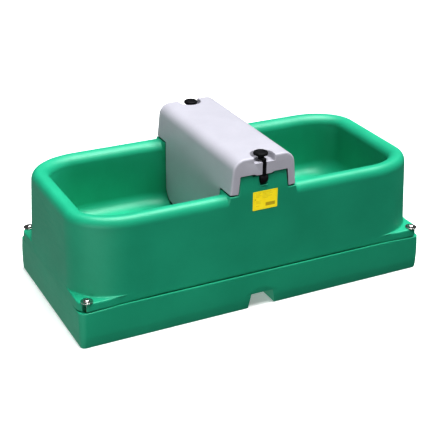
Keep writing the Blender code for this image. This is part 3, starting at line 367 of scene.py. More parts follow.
def turn(name, profile, segs, centre=(0, 0, 0), axis='Z', material=None, hexes=(), sharp=35.0, phase=0.0, flute=None):
    """Turned piece from (radius, height) points. hexes = profile indices that lie on a hexagon. flute = (indices,
    count, depth) for a scalloped rim."""
    n = len(profile)
    solid = profile[0][0] < 1e-9
    verts, rows = [], []
    for i, (r, h) in enumerate(profile):
        if r < 1e-9:
            rows.append([len(verts)])
            verts.append((0.0, 0.0, h))
            continue
        row = []
        for s in range(segs):
            t = 2 * math.pi * (s + phase) / segs
            rr = r
            if i in hexes:
                u = (t + math.pi / 6) % (math.pi / 3) - math.pi / 6
                rr = r / math.cos(u)
            if flute and i in flute[0]:
                rr = r - flute[2] * (0.5 - 0.5 * math.cos(flute[1] * t)) ** 2
            row.append(len(verts))
            verts.append((rr * math.cos(t), rr * math.sin(t), h))
        rows.append(row)
    faces = []
    for i in list(range(n - 1)) + ([] if solid else [n - 1]):
        a, b = rows[i], rows[(i + 1) % n]
        for s in range(segs):
            t = (s + 1) % segs
            if len(a) == 1 and len(b) > 1:
                faces.append((a[0], b[s], b[t]))
            elif len(b) == 1 and len(a) > 1:
                faces.append((a[s], b[0], a[t]))
            elif len(a) > 1 and len(b) > 1:
                faces.append((a[s], b[s], b[t], a[t]))
    return make(name, place(verts, axis, centre), faces, material, sharp)


def eased(profile, radius, steps=4, closed=False):
    """The same outline with its corners rounded."""
    out = []
    n = len(profile)
    for i, p in enumerate(profile):
        if not closed and i in (0, n - 1):
            out.append(p)
            continue
        a, b, c = Vector(profile[i - 1]), Vector(p), Vector(profile[(i + 1) % n])
        d1, d2 = (a - b), (c - b)
        if d1.length < 1e-9 or d2.length < 1e-9:
            out.append(p)
            continue
        cut = min(radius, d1.length * 0.45, d2.length * 0.45)
        p1, p2 = b + d1.normalized() * cut, b + d2.normalized() * cut
        for k in range(steps + 1):
            t = k / steps
            q = p1 * (1 - t) ** 2 + b * 2 * t * (1 - t) + p2 * t ** 2
            out.append((q.x, q.y))
    return out


def prism(name, outline, low, high, axis='Z', material=None, sharp=35.0, taper=None, ease=0.0):
    """Straight piece with its end edges eased by a small round."""
    n = len(outline)
    top = taper or outline
    place3 = {'Z': lambda p, h: (p[0], p[1], h), 'Y': lambda p, h: (p[0], h, p[1]), 'X': lambda p, h: (h, p[0], p[1])}[axis]
    rings = []
    if ease > 0:
        cx = sum(p[0] for p in outline) / n
        cy = sum(p[1] for p in outline) / n
        shrunk = []
        for i in range(n):
            a, b, c = Vector(outline[i - 1]), Vector(outline[i]), Vector(outline[(i + 1) % n])
            n1 = Vector(((b - a).y, -(b - a).x))
            n2 = Vector(((c - b).y, -(c - b).x))
            d = (n1.normalized() if n1.length > 1e-12 else Vector((0, 0))) + (n2.normalized() if n2.length > 1e-12 else Vector((0, 0)))
            d = d.normalized() if d.length > 1e-9 else Vector((0, 0))
            shrunk.append(d)
        area = sum(outline[i - 1][0] * outline[i][1] - outline[i][0] * outline[i - 1][1] for i in range(n))
        sgn = 1.0 if area > 0 else -1.0
        for k in range(4):
            t = math.pi / 2 * k / 3
            off = ease * (1 - math.sin(t)) * sgn
            rings.append([place3((outline[i][0] - shrunk[i].x * off, outline[i][1] - shrunk[i].y * off), low + ease * (1 - math.cos(t))) for i in range(n)])
        for k in range(4):
            t = math.pi / 2 * (1 - k / 3)
            off = ease * (1 - math.sin(t)) * sgn
            rings.append([place3((top[i][0] - shrunk[i].x * off, top[i][1] - shrunk[i].y * off), high - ease * (1 - math.cos(t))) for i in range(n)])
    else:
        rings = [[place3(p, low) for p in outline], [place3(p, high) for p in top]]
    verts = [v for r in rings for v in r]
    faces = [tuple(range(n)), tuple(range((len(rings) - 1) * n, len(rings) * n))]
    for k in range(len(rings) - 1):
        faces += [(k * n + i, k * n + (i + 1) % n, (k + 1) * n + (i + 1) % n, (k + 1) * n + i) for i in range(n)]
    return make(name, verts, faces, material, sharp)


def rounded(hx, hy, r, cx=0.0, cy=0.0, n=8):
    pts = []
    for sx, sy, t0 in ((1, 1, 0), (-1, 1, 90), (-1, -1, 180), (1, -1, 270)):
        for i in range(n + 1):
            t = math.radians(t0 + 90.0 * i / n)
            pts.append((cx + sx * (hx - r) + r * math.cos(t), cy + sy * (hy - r) + r * math.sin(t)))
    return pts


def piece(ob, body, replaces=()):
    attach(ob, body)
    if replaces:
        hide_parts(*replaces)
    return ob

# ------------------------------------------------------------------ rounded-rectangle grid shared by tub, base and gasket


def plan(st, a, b, r):
    rx, ry = r if isinstance(r, tuple) else (r, r)
    kind, v = st['k'], st['v']
    if kind == 'L':
        return st.get('x', v), b
    if kind == 'E':
        return a, v
    return a - rx + rx * math.sin(v), b - ry + ry * math.cos(v)


def radii(p, q, t, d=0.0):
    return tuple(lerp(u, w, t) + d for u, w in zip(p, q))


def end_share(st):
    """0 on the long sides, 1 on the ends, and between them round the corner."""
    return {'L': 0.0, 'E': 1.0}.get(st['k'], st['v'] / (math.pi / 2))


def corner_dip(x, y):
    return 0.0036 * smoothstep((abs(x) - 0.405) / 0.105) * smoothstep((abs(y) - 0.120) / 0.105)


def seam_z(st):
    x, y = plan(st, WALL_A, WALL_B, 0.060)
    return lerp(SEAM_LONG, SEAM_END, smoothstep((end_share(st) - 0.48) / 0.22)) - corner_dip(x, y)


def around(quad):
    out = [(s, 1, -1) for s in quad]
    out += [(s, 1, 1) for s in reversed(quad) if not (s['k'] == 'E' and s['v'] == 0)]
    out += [(s, -1, 1) for s in quad if not (s['k'] == 'L' and s['v'] == 0)]
    out += [(s, -1, -1) for s in reversed(quad) if not (s['k'] == 'E' and s['v'] == 0) and not (s['k'] == 'L' and s['v'] == 0)]
    return out


def grid(stations, levels):
    verts = []
    for lev in levels:
        for st, sx, sy in stations:
            x, y, z = lev(st)
            verts.append((sx * x, sy * y, z))
    return verts


def grid_faces(n, first, last):
    faces = []
    for k in range(first, last):
        for i in range(n):
            j = (i + 1) % n
            faces.append((k * n + i, k * n + j, (k + 1) * n + j, (k + 1) * n + i))
    return faces


FLANGE_C = (WALL_A - WALL_R, WALL_B - WALL_R)


def shoulder(st, z):
    """How far the bowl's wall comes in beside the cover, less under the rim than lower down."""
    if st['k'] != 'L':
        return 0.0
    v = st['v']
    high = smoothstep((z - 0.250) / 0.065) * smoothstep((v - 0.0950) / 0.0170)
    return SHOULDER * (1.0 - smoothstep((v - 0.112) / 0.060)) * (1.0 - 0.60 * high)


def fillet_size(st):
    w = {'L': 0.0, 'E': 1.0, 'C': 0.0}[st['k']]
    if st['k'] == 'C':
        w = smoothstep(st['v'] / (math.pi / 2))
    return lerp(FILLET_LONG[0], FILLET_END[0], w), lerp(FILLET_LONG[1], FILLET_END[1], w)


def bowl_plan(st, z, out):
    t = (z - 0.200) / (RIM_Z + 0.008 - 0.200)
    a = lerp(BOWL_A, RIM_A - RIM_OUT_R - RIM_IN_R, t)
    b = lerp(BOWL_B, RIM_B - RIM_OUT_R - RIM_IN_R, t)
    r = radii(BOWL_RR, RIM_RR, t, out - (RIM_OUT_R + RIM_IN_R) * t)
    x, y = plan(st, a + out, b + out, r)
    return x, y - shoulder(st, z)


def fillet_point(st, phi, out):
    h, v = fillet_size(st)
    z = FLOOR_Z + v * (1 - math.sin(phi)) - out * math.sin(phi)
    x, y = bowl_plan(st, FLOOR_Z + v, -h * (1 - math.cos(phi)) + out * math.cos(phi))
    return x, y, z


def ear_reach(st, inset=0.0):
    """How far the ear stands out past the wall's arc at this station, along the arc's own direction."""
    v = st['v']
    dx, dy = math.sin(v), math.cos(v)
    hits = []
    if dx > 1e-4:
        hits.append((EAR_A - inset - FLANGE_C[0]) / dx)
    if dy > 1e-4:
        hits.append((EAR_B - inset - FLANGE_C[1]) / dy)
    nx, ny = EAR_B - EAR_CY, EAR_A - EAR_CX
    s = math.hypot(nx, ny)
    nx, ny = nx / s, ny / s
    hits.append(((EAR_A - FLANGE_C[0]) * nx + (EAR_CY - FLANGE_C[1]) * ny - inset) / (dx * nx + dy * ny))
    k = 420.0
    lo = min(hits)
    soft = lo - math.log(sum(math.exp(-k * (h - lo)) for h in hits)) / k
    return soft


def ear_point(st, z, inset=0.0):
    """Outer edge of the flange at height z, pulled in by inset."""
    x, y = wall_xy(st, z)
    if st['k'] == 'L':
        return x, y - inset, z
    if st['k'] == 'E':
        return x - inset, y, z
    v = st['v']
    t = ear_reach(st) - inset
    side = wall_xy({'k': 'L', 'v': 0.3, 'x': 0.3}, z)[1] - WALL_B
    end = wall_xy({'k': 'E', 'v': 0.0}, z)[0] - WALL_A
    edge = WALL_R + lerp(side, end, end_share(st))
    near = smoothstep(min(math.degrees(v), 90 - math.degrees(v)) / 9.0)
    t -= 0.0022 * max(0.0, (z - 0.1066) / 0.0234) * near
    t = lerp(edge - inset, max(t, edge - inset), near)
    return FLANGE_C[0] + math.sin(v) * t, FLANGE_C[1] + math.cos(v) * t, z


def ear_width(st):
    if st['k'] != 'C':
        return 0.0
    x, y, _ = ear_point(st, EAR_TOP)
    wx, wy = wall_xy(st, EAR_TOP)
    return max(0.0, (x - wx) * math.sin(st['v']) + (y - wy) * math.cos(st['v']))


def wall_xy(st, z, out=0.0):
    """The tapered wall, swelling out a little towards its foot."""
    t = (z - EAR_TOP) / (RIM_Z - EAR_TOP)
    low = max(0.0, (FLARE_Z - z) / (FLARE_Z - SEAM_LONG)) ** 2
    out += lerp(0.0010, 0.0026, end_share(st)) * low
    return plan(st, lerp(WALL_A - 0.0010, RIM_A, t) + out, lerp(WALL_B, RIM_B, t) + out, radii(WALL_RR, RIM_RR, max(0.0, t), out))


def along_normal(st, xy, d):
    if st['k'] == 'L':
        return xy[0], xy[1] + d
    if st['k'] == 'E':
        return xy[0] + d, xy[1]
    return xy[0] + math.sin(st['v']) * d, xy[1] + math.cos(st['v']) * d

# ---- the wall's top: four outlines with the same number of points, blended from station to station


def arc(cy, cz, r, a0, a1, n, first=True):
    pts = []
    for i in range(n):
        t = math.radians(lerp(a0, a1, i / (n - 1)))
        pts.append((cy + r * math.cos(t), cz + r * math.sin(t)))
    return pts


def rim_outline():
    pts = []
    for j in range(17):
        t = math.radians(90.0 * j / 16)
        pts.append((RIM_B - RIM_OUT_H * (1 - math.cos(t)), RIM_LOW + (RIM_TOP - RIM_LOW) * math.sin(t)))
    for j in range(1, 17):
        t = math.radians(90.0 * (1 - j / 16))
        pts.append((RIM_B - RIM_OUT_H - RIM_IN_H * math.cos(t), RIM_LOW + (RIM_TOP - RIM_LOW) * math.sin(t)))
    return pts


def box_outline(top, inner_y, knee, r=0.0020):
    """Flat-topped wall: outer face, round, top, 3 mm round, inner face."""
    q = 0.0030
    pts = [(0.2377, RIM_Z), (0.2377, lerp(RIM_Z, top, knee[0]))]
    zs = [lerp(lerp(RIM_Z, top, knee[0]), top - r, t) for t in (0.30, 0.38, 0.44, 0.50, 0.56, 0.62, 0.70, 0.78, 0.86, 1.0)]
    pts += [(0.2376, z) for z in zs]
    pts += [(0.2376 - r + r * math.cos(math.radians(a)), top - r + r * math.sin(math.radians(a))) for a in (18, 36, 54, 72, 90)]
    pts += [(y, top) for y in (0.2290, 0.2200, 0.2185, 0.2165, 0.2150, 0.2050, 0.1950, inner_y + 0.006)]
    pts += [(inner_y + q - q * math.sin(math.radians(a)), top - q + q * math.cos(math.radians(a))) for a in (0, 22, 45, 68, 90)]
    pts += [(lerp(inner_y, 0.1755, 0.35), lerp(top - q, IN_TOP, 0.35)), (lerp(inner_y, 0.1755, 0.7), lerp(top - q, IN_TOP, 0.7)),
            (0.1755, IN_TOP)]
    return pts


def notch_outline(top):
    pts = box_outline(top, 0.1790, (0.35,))
    r = 0.0030
    pts[1] = (0.2377, 0.3450)
    pts[2] = (0.2376, 0.3590)
    for i, a in enumerate((0, 22, 45, 68, 90)):
        pts[3 + i] = (0.2376 - r + r * math.cos(math.radians(a)), NOTCH_Z0 - r + r * math.sin(math.radians(a)))
    pts[8] = (0.2290, NOTCH_Z0)
    pts[9] = (0.2185, NOTCH_Z0)
    pts[10] = (0.2170, NOTCH_Z0 + 0.0006)
    pts[11] = (0.2165, NOTCH_Z0 + 0.0020)
    for i, z in enumerate((0.3740, 0.3775, 0.3810, 0.3845, 0.3870)):
        pts[12 + i] = (0.2165, z)
    pts[17], pts[18], pts[19], pts[20] = (0.2165, top - 0.0030), (0.2165, top - 0.0012), (0.2161, top - 0.0003), (0.2153, top)
    pts[21] = (0.2140, top)
    return pts


def leaning(pts, top, n=17):
    """The outer face of a tab with its top set back."""
    lean = 0.0044
    return [(y - lean * smoothstep((z - 0.3400) / (top - 0.3400)) if k < n else y, z) for k, (y, z) in enumerate(pts)]


RIM_OUT = rim_outline()
LEDGE_OUT = box_outline(LEDGE_Z, 0.1768, (0.45,), 0.0034)
TAB_OUT = leaning(box_outline(TAB_Z, 0.1790, (0.35,), 0.0014), TAB_Z)
LOW_OUT = leaning(box_outline(TAB_LOW_Z, 0.1790, (0.35,), 0.0014), TAB_LOW_Z)
NOTCH_OUT = leaning(notch_outline(TAB_LOW_Z), TAB_LOW_Z, 3)
M_TOP = len(RIM_OUT)
assert M_TOP == len(LEDGE_OUT) == len(TAB_OUT) == len(NOTCH_OUT), (M_TOP, len(LEDGE_OUT), len(NOTCH_OUT))
UNDER_RIM = []
for deg, inner in ((0, True), (30, True), (60, True), (90, True), (60, False), (30, False), (0, False)):
    t = math.radians(deg)
    if inner:
        UNDER_RIM.append((RIM_B - RIM_OUT_H - (RIM_IN_H - SKIN) * math.cos(t), RIM_LOW + (RIM_TOP - RIM_LOW - SKIN) * math.sin(t)))
    else:
        UNDER_RIM.append((RIM_B - RIM_OUT_H + (RIM_OUT_H - SKIN) * math.cos(t), RIM_LOW + (RIM_TOP - RIM_LOW - SKIN) * math.sin(t)))


def under_box(top, inner_y):
    return [(0.1815, IN_TOP), (inner_y, top - 0.007), (0.1950, top - 0.006), (0.2050, top - 0.006), (0.2150, top - 0.006),
            (0.2305, top - 0.007), (0.2317, RIM_Z)]


UNDER_LEDGE = under_box(LEDGE_Z, 0.1850)
UNDER_TAB = under_box(TAB_Z, 0.1850)
UNDER_NOTCH = [(0.1815, IN_TOP), (0.1850, TAB_LOW_Z - 0.007), (0.1950, TAB_LOW_Z - 0.006), (0.2085, TAB_LOW_Z - 0.007),
               (0.2105, 0.3620), (0.2300, 0.3590), (0.2317, RIM_Z)]


def blend(p, q, t):
    return [(lerp(a[0], b[0], t), lerp(a[1], b[1], t)) for a, b in zip(p, q)]


def tub_quadrant():
    """Stations of the first quadrant. Each long-side station holds its own top outline and x positions."""
    st = []

    def add(x, top, under, xtop=None, steep=0.0, side=None, share=0.0):
        st.append({'k': 'L', 'v': x, 'x': x, 'top': top, 'under': under, 'xtop': x if xtop is None else xtop, 'steep': steep,
                   'side': side, 'share': share})

    for x in (0.0, 0.0050, 0.0095):
        add(x, NOTCH_OUT, UNDER_NOTCH)
    for k, t in enumerate((0.0, 0.12, 0.5, 0.88, 1.0)):
        add(0.0104 + 0.0007 * k, blend(NOTCH_OUT, LOW_OUT, t), UNDER_NOTCH, side=(-0.0006, -0.0002, 0.0, 0.0003, 0.0014)[k])
    add(0.0160, LOW_OUT, UNDER_NOTCH)
    add(0.0190, LOW_OUT, UNDER_NOTCH)
    add(0.0200, LOW_OUT, under_box(TAB_LOW_Z, 0.1850))
    add(0.0290, LOW_OUT, under_box(TAB_LOW_Z, 0.1850))
    for k, t in enumerate((0.0, 0.1, 0.35, 0.65, 0.9, 1.0)):
        add(0.0318 + 0.0005 * k, blend(LOW_OUT, TAB_OUT, t), under_box(TAB_LOW_Z, 0.1850))
    add(0.0420, TAB_OUT, UNDER_TAB)
    add(0.0560, TAB_OUT, UNDER_TAB)
    add(0.0630, TAB_OUT, UNDER_TAB)
    add(0.0640, TAB_OUT, UNDER_LEDGE)
    # rounded step from the tab's top down its slanted side to the ledge
    r = 0.0022
    path = []
    for a in (90, 72, 54, 36, 18, 0):
        t = math.radians(a)
        path.append((TAB_X_TOP - r + r * math.cos(t), TAB_Z - r + r * math.sin(t), math.cos(t)))
    for t in (0.25, 0.5, 0.75):
        path.append((lerp(TAB_X_TOP, TAB_X_LOW, t), lerp(TAB_Z - r, LEDGE_Z + r, t), 1.0))
    for a in (0, 22, 45, 67, 90):
        t = math.radians(a)
        path.append((TAB_X_LOW + r - r * math.cos(t), LEDGE_Z + r - r * math.sin(t), math.cos(t)))
    n = len(path)
    for k, (x, z, steep) in enumerate(path):
        h = (z - LEDGE_Z) / (TAB_Z - LEDGE_Z)
        add(lerp(0.0688, 0.0792, k / (n - 1)), blend(LEDGE_OUT, TAB_OUT, h), UNDER_LEDGE, xtop=x, steep=steep)
    add(0.0840, LEDGE_OUT, UNDER_LEDGE)
    add(0.0920, LEDGE_OUT, UNDER_LEDGE)
    for k in range(13):
        t = smoothstep(k / 12)
        add(0.0982 + 0.00062 * k, blend(LEDGE_OUT, RIM_OUT, t), blend(UNDER_LEDGE, UNDER_RIM, t), share=t)
    for x in (0.1075, 0.1095, 0.1120, 0.1180, 0.1240, 0.1300, 0.1360, 0.1420, 0.1480, 0.1550, 0.1630, 0.2200, 0.3000):
        add(x, RIM_OUT, UNDER_RIM)
    for i in range(31):
        st.append({'k': 'C', 'v': math.radians(3.0 * i)})
    for y in (0.0600, 0.0):
        st.append({'k': 'E', 'v': y})
    return st


def top_level(j):
    def f(st):
        if st['k'] != 'L':
            y0, z = RIM_OUT[j]
            d = RIM_B - y0
            return (*plan(st, RIM_A - d, RIM_B - d, radii(RIM_RR, RIM_RR, 0.0, -d)), z)
        y, z = st['top'][j]
        x = st['x']
        w = smoothstep((j - 16) / 14.0) if j > 16 else 0.0
        # the rim part of the outline is narrowed here, the ledge part already is
        y -= shoulder(st, z) * w * (1.0 if st['top'] is RIM_OUT else st['share'])
        if st['side'] is not None:
            wall = NOTCH_LOW + (NOTCH_HIGH - NOTCH_LOW) * (z - NOTCH_Z0) / (NOTCH_Z1 - NOTCH_Z0)
            up = smoothstep((z - 0.3450) / 0.0150)
            x = lerp(st['x'], max(wall, NOTCH_LOW - 0.0006) + st['side'], up)
        elif st['xtop'] != st['x'] or st['steep'] > 0:
            ztop = st['top'][20][1]
            up = max(0.0, min(1.0, (z - RIM_Z) / max(1e-6, ztop - 0.0025 - RIM_Z)))
            x = lerp(st['x'], st['xtop'], up)
            if 11 <= j <= 16:
                s = math.sin(math.radians(18.0 * (j - 11)))
                z = lerp(z, ztop, st['steep'])
                x -= st['steep'] * 0.0020 * (1 - s)
            elif j < 11:
                x -= st['steep'] * 0.0020 * up
            elif 25 <= j <= 29:
                s = math.cos(math.radians(22.5 * (j - 25)))
                z = lerp(z, ztop, st['steep'])
                x -= st['steep'] * 0.0030 * (1 - s)
            elif j > 29:
                x -= st['steep'] * 0.0030 * up
        return x, y, z
    return f


def under_level(j):
    def f(st):
        if st['k'] != 'L':
            y0, z = UNDER_RIM[j]
            d = RIM_B - y0
            return (*plan(st, RIM_A - d, RIM_B - d, radii(RIM_RR, RIM_RR, 0.0, -d)), z)
        y, z = st['under'][j]
        y -= shoulder(st, z) * smoothstep((3 - j) / 3.0) * (1.0 if st['top'] is RIM_OUT else st['share'])
        return st['x'], y, z
    return f


def build_tub():
    quad = tub_quadrant()
    stations = around(quad)
    n = len(stations)
    levels = [lambda st: (*plan(st, WALL_A - 0.0135, WALL_B - 0.0135, WALL_R - 0.0135), seam_z(st))]

    def lip(a):
        def f(st):
            e = smoothstep((end_share(st) - 0.45) / 0.25)
            r, h = lerp(0.0026, 0.0004, e), lerp(0.0048, 0.0005, e)
            return ear_point(st, seam_z(st) + h * (1 - math.cos(a)), r * (1 - math.sin(a)))
        return f
    levels += [lip(math.pi / 2 * k / 6) for k in range(7)]
    levels += [lambda st: ear_point(st, 0.1165), lambda st: ear_point(st, 0.1200), lambda st: ear_point(st, 0.1235)]

    def ear_edge(k):
        a = math.pi / 2 * k / 4
        def f(st):
            w = ear_width(st)
            r = min(0.0034, w * 0.35)
            fall = 0.0012 * min(1.0, w / 0.012)
            return ear_point(st, EAR_TOP - fall - (r + 0.0003) * (1 - math.sin(a)) - 1e-5, r * (1 - math.cos(a)))
        return f
    levels += [ear_edge(k) for k in range(5)]

    def root(k):
        a = math.pi / 2 * k / 6
        def f(st):
            r = min(0.0042, ear_width(st) * 0.5)
            z = EAR_TOP + (r + 0.0003) * (1 - math.cos(a))
            return (*along_normal(st, wall_xy(st, z), r * (1 - math.sin(a))), z)
        return f
    levels += [root(k) for k in range(7)]
    levels += [lambda st, z=z: (*wall_xy(st, z), z) for z in (0.1375, 0.1450, 0.1525, 0.1600, 0.1680, 0.1850, 0.2050, 0.2400, 0.2800, 0.3050)]
    levels += [top_level(j) for j in range(M_TOP)]
    levels += [lambda st, z=z: (*bowl_plan(st, z, 0.0), z) for z in (0.312, 0.292, 0.268, 0.244)]
    levels += [lambda st, k=k: fillet_point(st, math.pi / 2 * k / 14, 0.0) for k in range(14)]
    levels += [lambda st: (*fillet_point(st, math.pi / 2, 0.0)[:2], FLOOR_Z)]

    def shrink(z):
        def f(st):
            x, y, _ = fillet_point(st, math.pi / 2, 0.0)
            return x * 0.985, y * 0.965, z
        return f
    levels.append(shrink(FLOOR_Z))
    top_cap = len(levels) - 1
    levels.append(shrink(FLOOR_Z - SKIN))
    levels += [lambda st, d=d: fillet_point(st, math.radians(d), SKIN) for d in (80, 60, 40, 20, 0)]
    levels += [lambda st, z=z: (*bowl_plan(st, z, SKIN), z) for z in (0.270,)]
    levels += [under_level(j) for j in range(7)]
    levels += [lambda st: (*wall_xy(st, 0.137, -SKIN), 0.137),
               lambda st: (*plan(st, WALL_A - 0.0135, WALL_B - 0.0135, WALL_R - 0.0135), 0.1290)]
    verts = grid(stations, levels)
    faces = grid_faces(n, 0, top_cap) + grid_faces(n, top_cap + 1, len(levels) - 1)
    last = len(levels) - 1
    faces += [(last * n + i, last * n + (i + 1) % n, (i + 1) % n, i) for i in range(n)]
    me = bpy.data.meshes.new("tub")
    me.from_pydata(verts, [], faces)
    bm = bmesh.new()
    bm.from_mesh(me)
    bm.verts.ensure_lookup_table()
    rings = []
    for level, z in ((top_cap, FLOOR_Z), (top_cap + 1, FLOOR_Z - SKIN)):
        edges = []
        for i in range(n):
            edges.append(bm.edges.get((bm.verts[level * n + i], bm.verts[level * n + (i + 1) % n])))
        circles = []
        for cy, r in ((RISER_Y, 0.0109), (DRAIN_Y, 0.0135)):
            ring = [bm.verts.new((r * math.cos(2 * math.pi * k / 40), cy + r * math.sin(2 * math.pi * k / 40), z)) for k in range(40)]
            edges += [bm.edges.new((ring[k], ring[(k + 1) % 40])) for k in range(40)]
            circles.append(ring)
        rings.append(circles)
        bmesh.ops.triangle_fill(bm, use_beauty=True, use_dissolve=False, edges=edges)
        bm.verts.ensure_lookup_table()
    for a, b in zip(*rings):
        for k in range(40):
            bm.faces.new((a[k], a[(k + 1) % 40], b[(k + 1) % 40], b[k]))
    bmesh.ops.recalc_face_normals(bm, faces=bm.faces)
    if bm.calc_volume(signed=True) < 0:
        bmesh.ops.reverse_faces(bm, faces=bm.faces)
    bm.to_mesh(me)
    bm.free()
    ob = bpy.data.objects.new("tub_shell", me)
    scene.collection.objects.link(ob)
    me.materials.append(GREEN)
    for tag, sx, sy in (("fl", -1, -1), ("fr", 1, -1), ("bl", -1, 1), ("br", 1, 1)):
        ang = math.atan2(sy * 0.555, sx * 0.832)
        pts = []
        for i in range(17):
            t = ang + math.pi / 2 + math.pi * i / 16
            pts.append((sx * BOLT_X + 0.0054 * math.cos(t), sy * BOLT_Y + 0.0054 * math.sin(t)))
        for s in (-1, 1):
            pts.append((sx * BOLT_X + 0.0054 * math.cos(ang + s * math.pi / 2) + 0.05 * math.cos(ang),
                        sy * BOLT_Y + 0.0054 * math.sin(ang + s * math.pi / 2) + 0.05 * math.sin(ang)))
        boolean(ob, prism("slot_" + tag, pts, 0.096, 0.1360))
    shade(ob, 32.0)
    return piece(ob, "trough", ("trough_tub",))


def build_base():
    quad = [{'k': 'L', 'v': x, 'x': x} for x in (0.0, 0.0600, 0.2000, 0.3600, 0.4050, 0.4250, 0.4450, 0.4650, 0.4850)]
    quad += [{'k': 'C', 'v': math.radians(7.5 * i)} for i in range(13)]
    quad += [{'k': 'E', 'v': y} for y in (0.2050, 0.1850, 0.1650, 0.1450, 0.1200, 0.0)]
    stations = around(quad)
    n = len(stations)
    b = FRONT_B
    side = [(0.5262, b - 0.0030, 0.0, 0.0120), (0.5273, b - 0.0017, 0.0004, 0.0124), (0.5279, b - 0.0010, 0.0012, 0.0126),
            (0.52825, b - 0.0005, 0.0026, 0.0128), (0.52920, b + 0.0008, 0.0140, 0.0142), (0.52965, b + 0.0018, 0.0250, 0.0155),
            (0.52970, b + 0.00208, 0.0285, 0.0162), (0.52985, b + 0.0022, 0.0320, 0.0165), (0.5300, b + 0.0021, 0.0420, 0.0170),
            (0.5299, b + 0.0014, 0.0700, 0.0180), (0.52905, b + 0.0004, 0.0900, 0.0188), (0.5286, b + 0.0001, 0.0970, 0.0190)]
    levels = [lambda st, p=p: (*plan(st, p[0], p[1], p[3]), p[2]) for p in side]

    def brim(a):
        def f(st):
            x, y = plan(st, BASE_A, b, 0.0190)
            dip = corner_dip(x, y)
            r = lerp(0.0008, 0.0004, smoothstep((end_share(st) - 0.45) / 0.3)) + 0.40 * dip
            d = r * (1 - math.cos(a))
            return (*plan(st, 0.5285 - d, b - d, 0.0190 - d), SEAM_BASE - dip - r + r * math.sin(a))
        return f
    levels += [brim(math.radians(a)) for a in (0, 22, 45, 67, 90)]
    levels += [lambda st, q=q: (*plan(st, q[0], q[1], q[2]), q[3]) for q in (
        (0.5165, 0.2325, 0.080, SEAM_BASE - 0.0006), (0.5095, 0.2255, 0.090, SEAM_BASE), (0.5083, 0.2243, 0.090, SEAM_BASE - 0.0005), (0.508, 0.224, 0.090, SEAM_BASE - 0.0016),
        (0.508, 0.224, 0.090, SEAM_BASE - 0.006), (0.522, 0.2405, 0.090, SEAM_BASE - 0.009), (0.519, 0.2375, 0.087, 0.006))]
    verts = grid(stations, levels)
    faces = grid_faces(n, 0, len(levels) - 1)
    faces.append(tuple(range(n)))
    faces.append(tuple((len(levels) - 1) * n + i for i in range(n)))
    ob = make("base_shell", verts, faces, GREEN_BASE_PAINTED_LIGHTER)
    boolean(ob, prism("channel_block", [(-0.0480, 0.0025), (0.0480, 0.0025), (0.0400, CHANNEL_ROOF), (-0.0400, CHANNEL_ROOF)],
                      -0.2430, 0.2430, 'Y'), 'UNION')
    g = (CHANNEL_LOW - CHANNEL_HIGH) / CHANNEL_Z
    out = [(-CHANNEL_LOW - g * 0.01, -0.010), (CHANNEL_LOW + g * 0.01, -0.010), (CHANNEL_HIGH, CHANNEL_Z), (-CHANNEL_HIGH, CHANNEL_Z)]
    cut = eased(out, 0.0025, 5, True)
    boolean(ob, prism("channel_cut", cut, -0.28, 0.28, 'Y'))
    for nm, cy, r in (("a", RISER_Y, 0.0112), ("b", DRAIN_Y, 0.0140), ("c", GLAND_Y, 0.0084)):
        boolean(ob, turn("hole_" + nm, [(0, 0.036), (r, 0.036), (r, 0.060), (0, 0.060)], 40, (0, cy, 0), phase=0.37))
    for k, (sx, sy) in enumerate(((-1, -1), (1, -1), (1, 1), (-1, 1))):
        boolean(ob, turn("bore_%d" % k, [(0, 0.084), (0.0056, 0.084), (0.0056, 0.120), (0, 0.120)], 28, (sx * BOLT_X, sy * BOLT_Y, 0), phase=0.37))
    bev = ob.modifiers.new("edge", 'BEVEL')
    bev.width = 0.0009
    bev.segments = 2
    bev.limit_method = 'ANGLE'
    bev.angle_limit = math.radians(50)
    bev.harden_normals = False
    apply_all(ob, 32.0)
    return piece(ob, "trough", ("base_tray",))


def build_gasket():
    quad = [{'k': 'L', 'v': x, 'x': x} for x in (0.0, 0.2000)]
    quad += [{'k': 'C', 'v': math.radians(7.5 * i)} for i in range(13)]
    quad += [{'k': 'E', 'v': 0.0}]
    stations = around(quad)
    n = len(stations)
    prof = eased([(0.0, 0.0), (0.0, 0.0016), (-0.0080, 0.0016), (-0.0080, 0.0)], 0.0007, 4, True)

    def strip(q):
        def f(st):
            x, y = plan(st, 0.5225 + q[0], 0.2372 + q[0], 0.1045 + q[0])
            top = seam_z(st) - 0.0001
            low = min(SEAM_BASE - 0.0036 * smoothstep((abs(x) - 0.405) / 0.105) * smoothstep((abs(y) - 0.120) / 0.105), top - 0.0003)
            return x, y, lerp(low, top, q[1] / 0.0016)
        return f
    levels = [strip(q) for q in prof]
    verts = grid(stations, levels)
    faces = grid_faces(n, 0, len(levels) - 1)
    last = len(levels) - 1
    faces += [(last * n + i, last * n + (i + 1) % n, (i + 1) % n, i) for i in range(n)]
    return piece(make("gasket_strip", verts, faces, RUBBER), "trough", ("base_gasket",))

# ------------------------------------------------------------------ cover


DRAFT = math.atan2(COVER_LEG_X - COVER_SIDE_X, COVER_SIDE_Z - COVER_LEG_Z)
ARC_CZ = COVER_TOP - COVER_ARC
ARC_CX = COVER_SIDE_X - COVER_ARC * math.cos(DRAFT)


def side_x(z):
    if z >= COVER_LEG_Z:
        return COVER_LEG_X + (COVER_SIDE_X - COVER_LEG_X) * (z - COVER_LEG_Z) / (COVER_SIDE_Z - COVER_LEG_Z)
    return COVER_LEG_X + (COVER_LEG_Z - z) * 0.0097


def panel_bottom(y):
    h, v = FILLET_LONG
    edge = BOWL_B - SHOULDER - h
    u = max(0.0, min(1.0, (abs(y) + 0.0025 - edge) / h))
    return FLOOR_Z + 0.0080 + v * (1 - math.sqrt(max(0.0, 1 - u * u)))


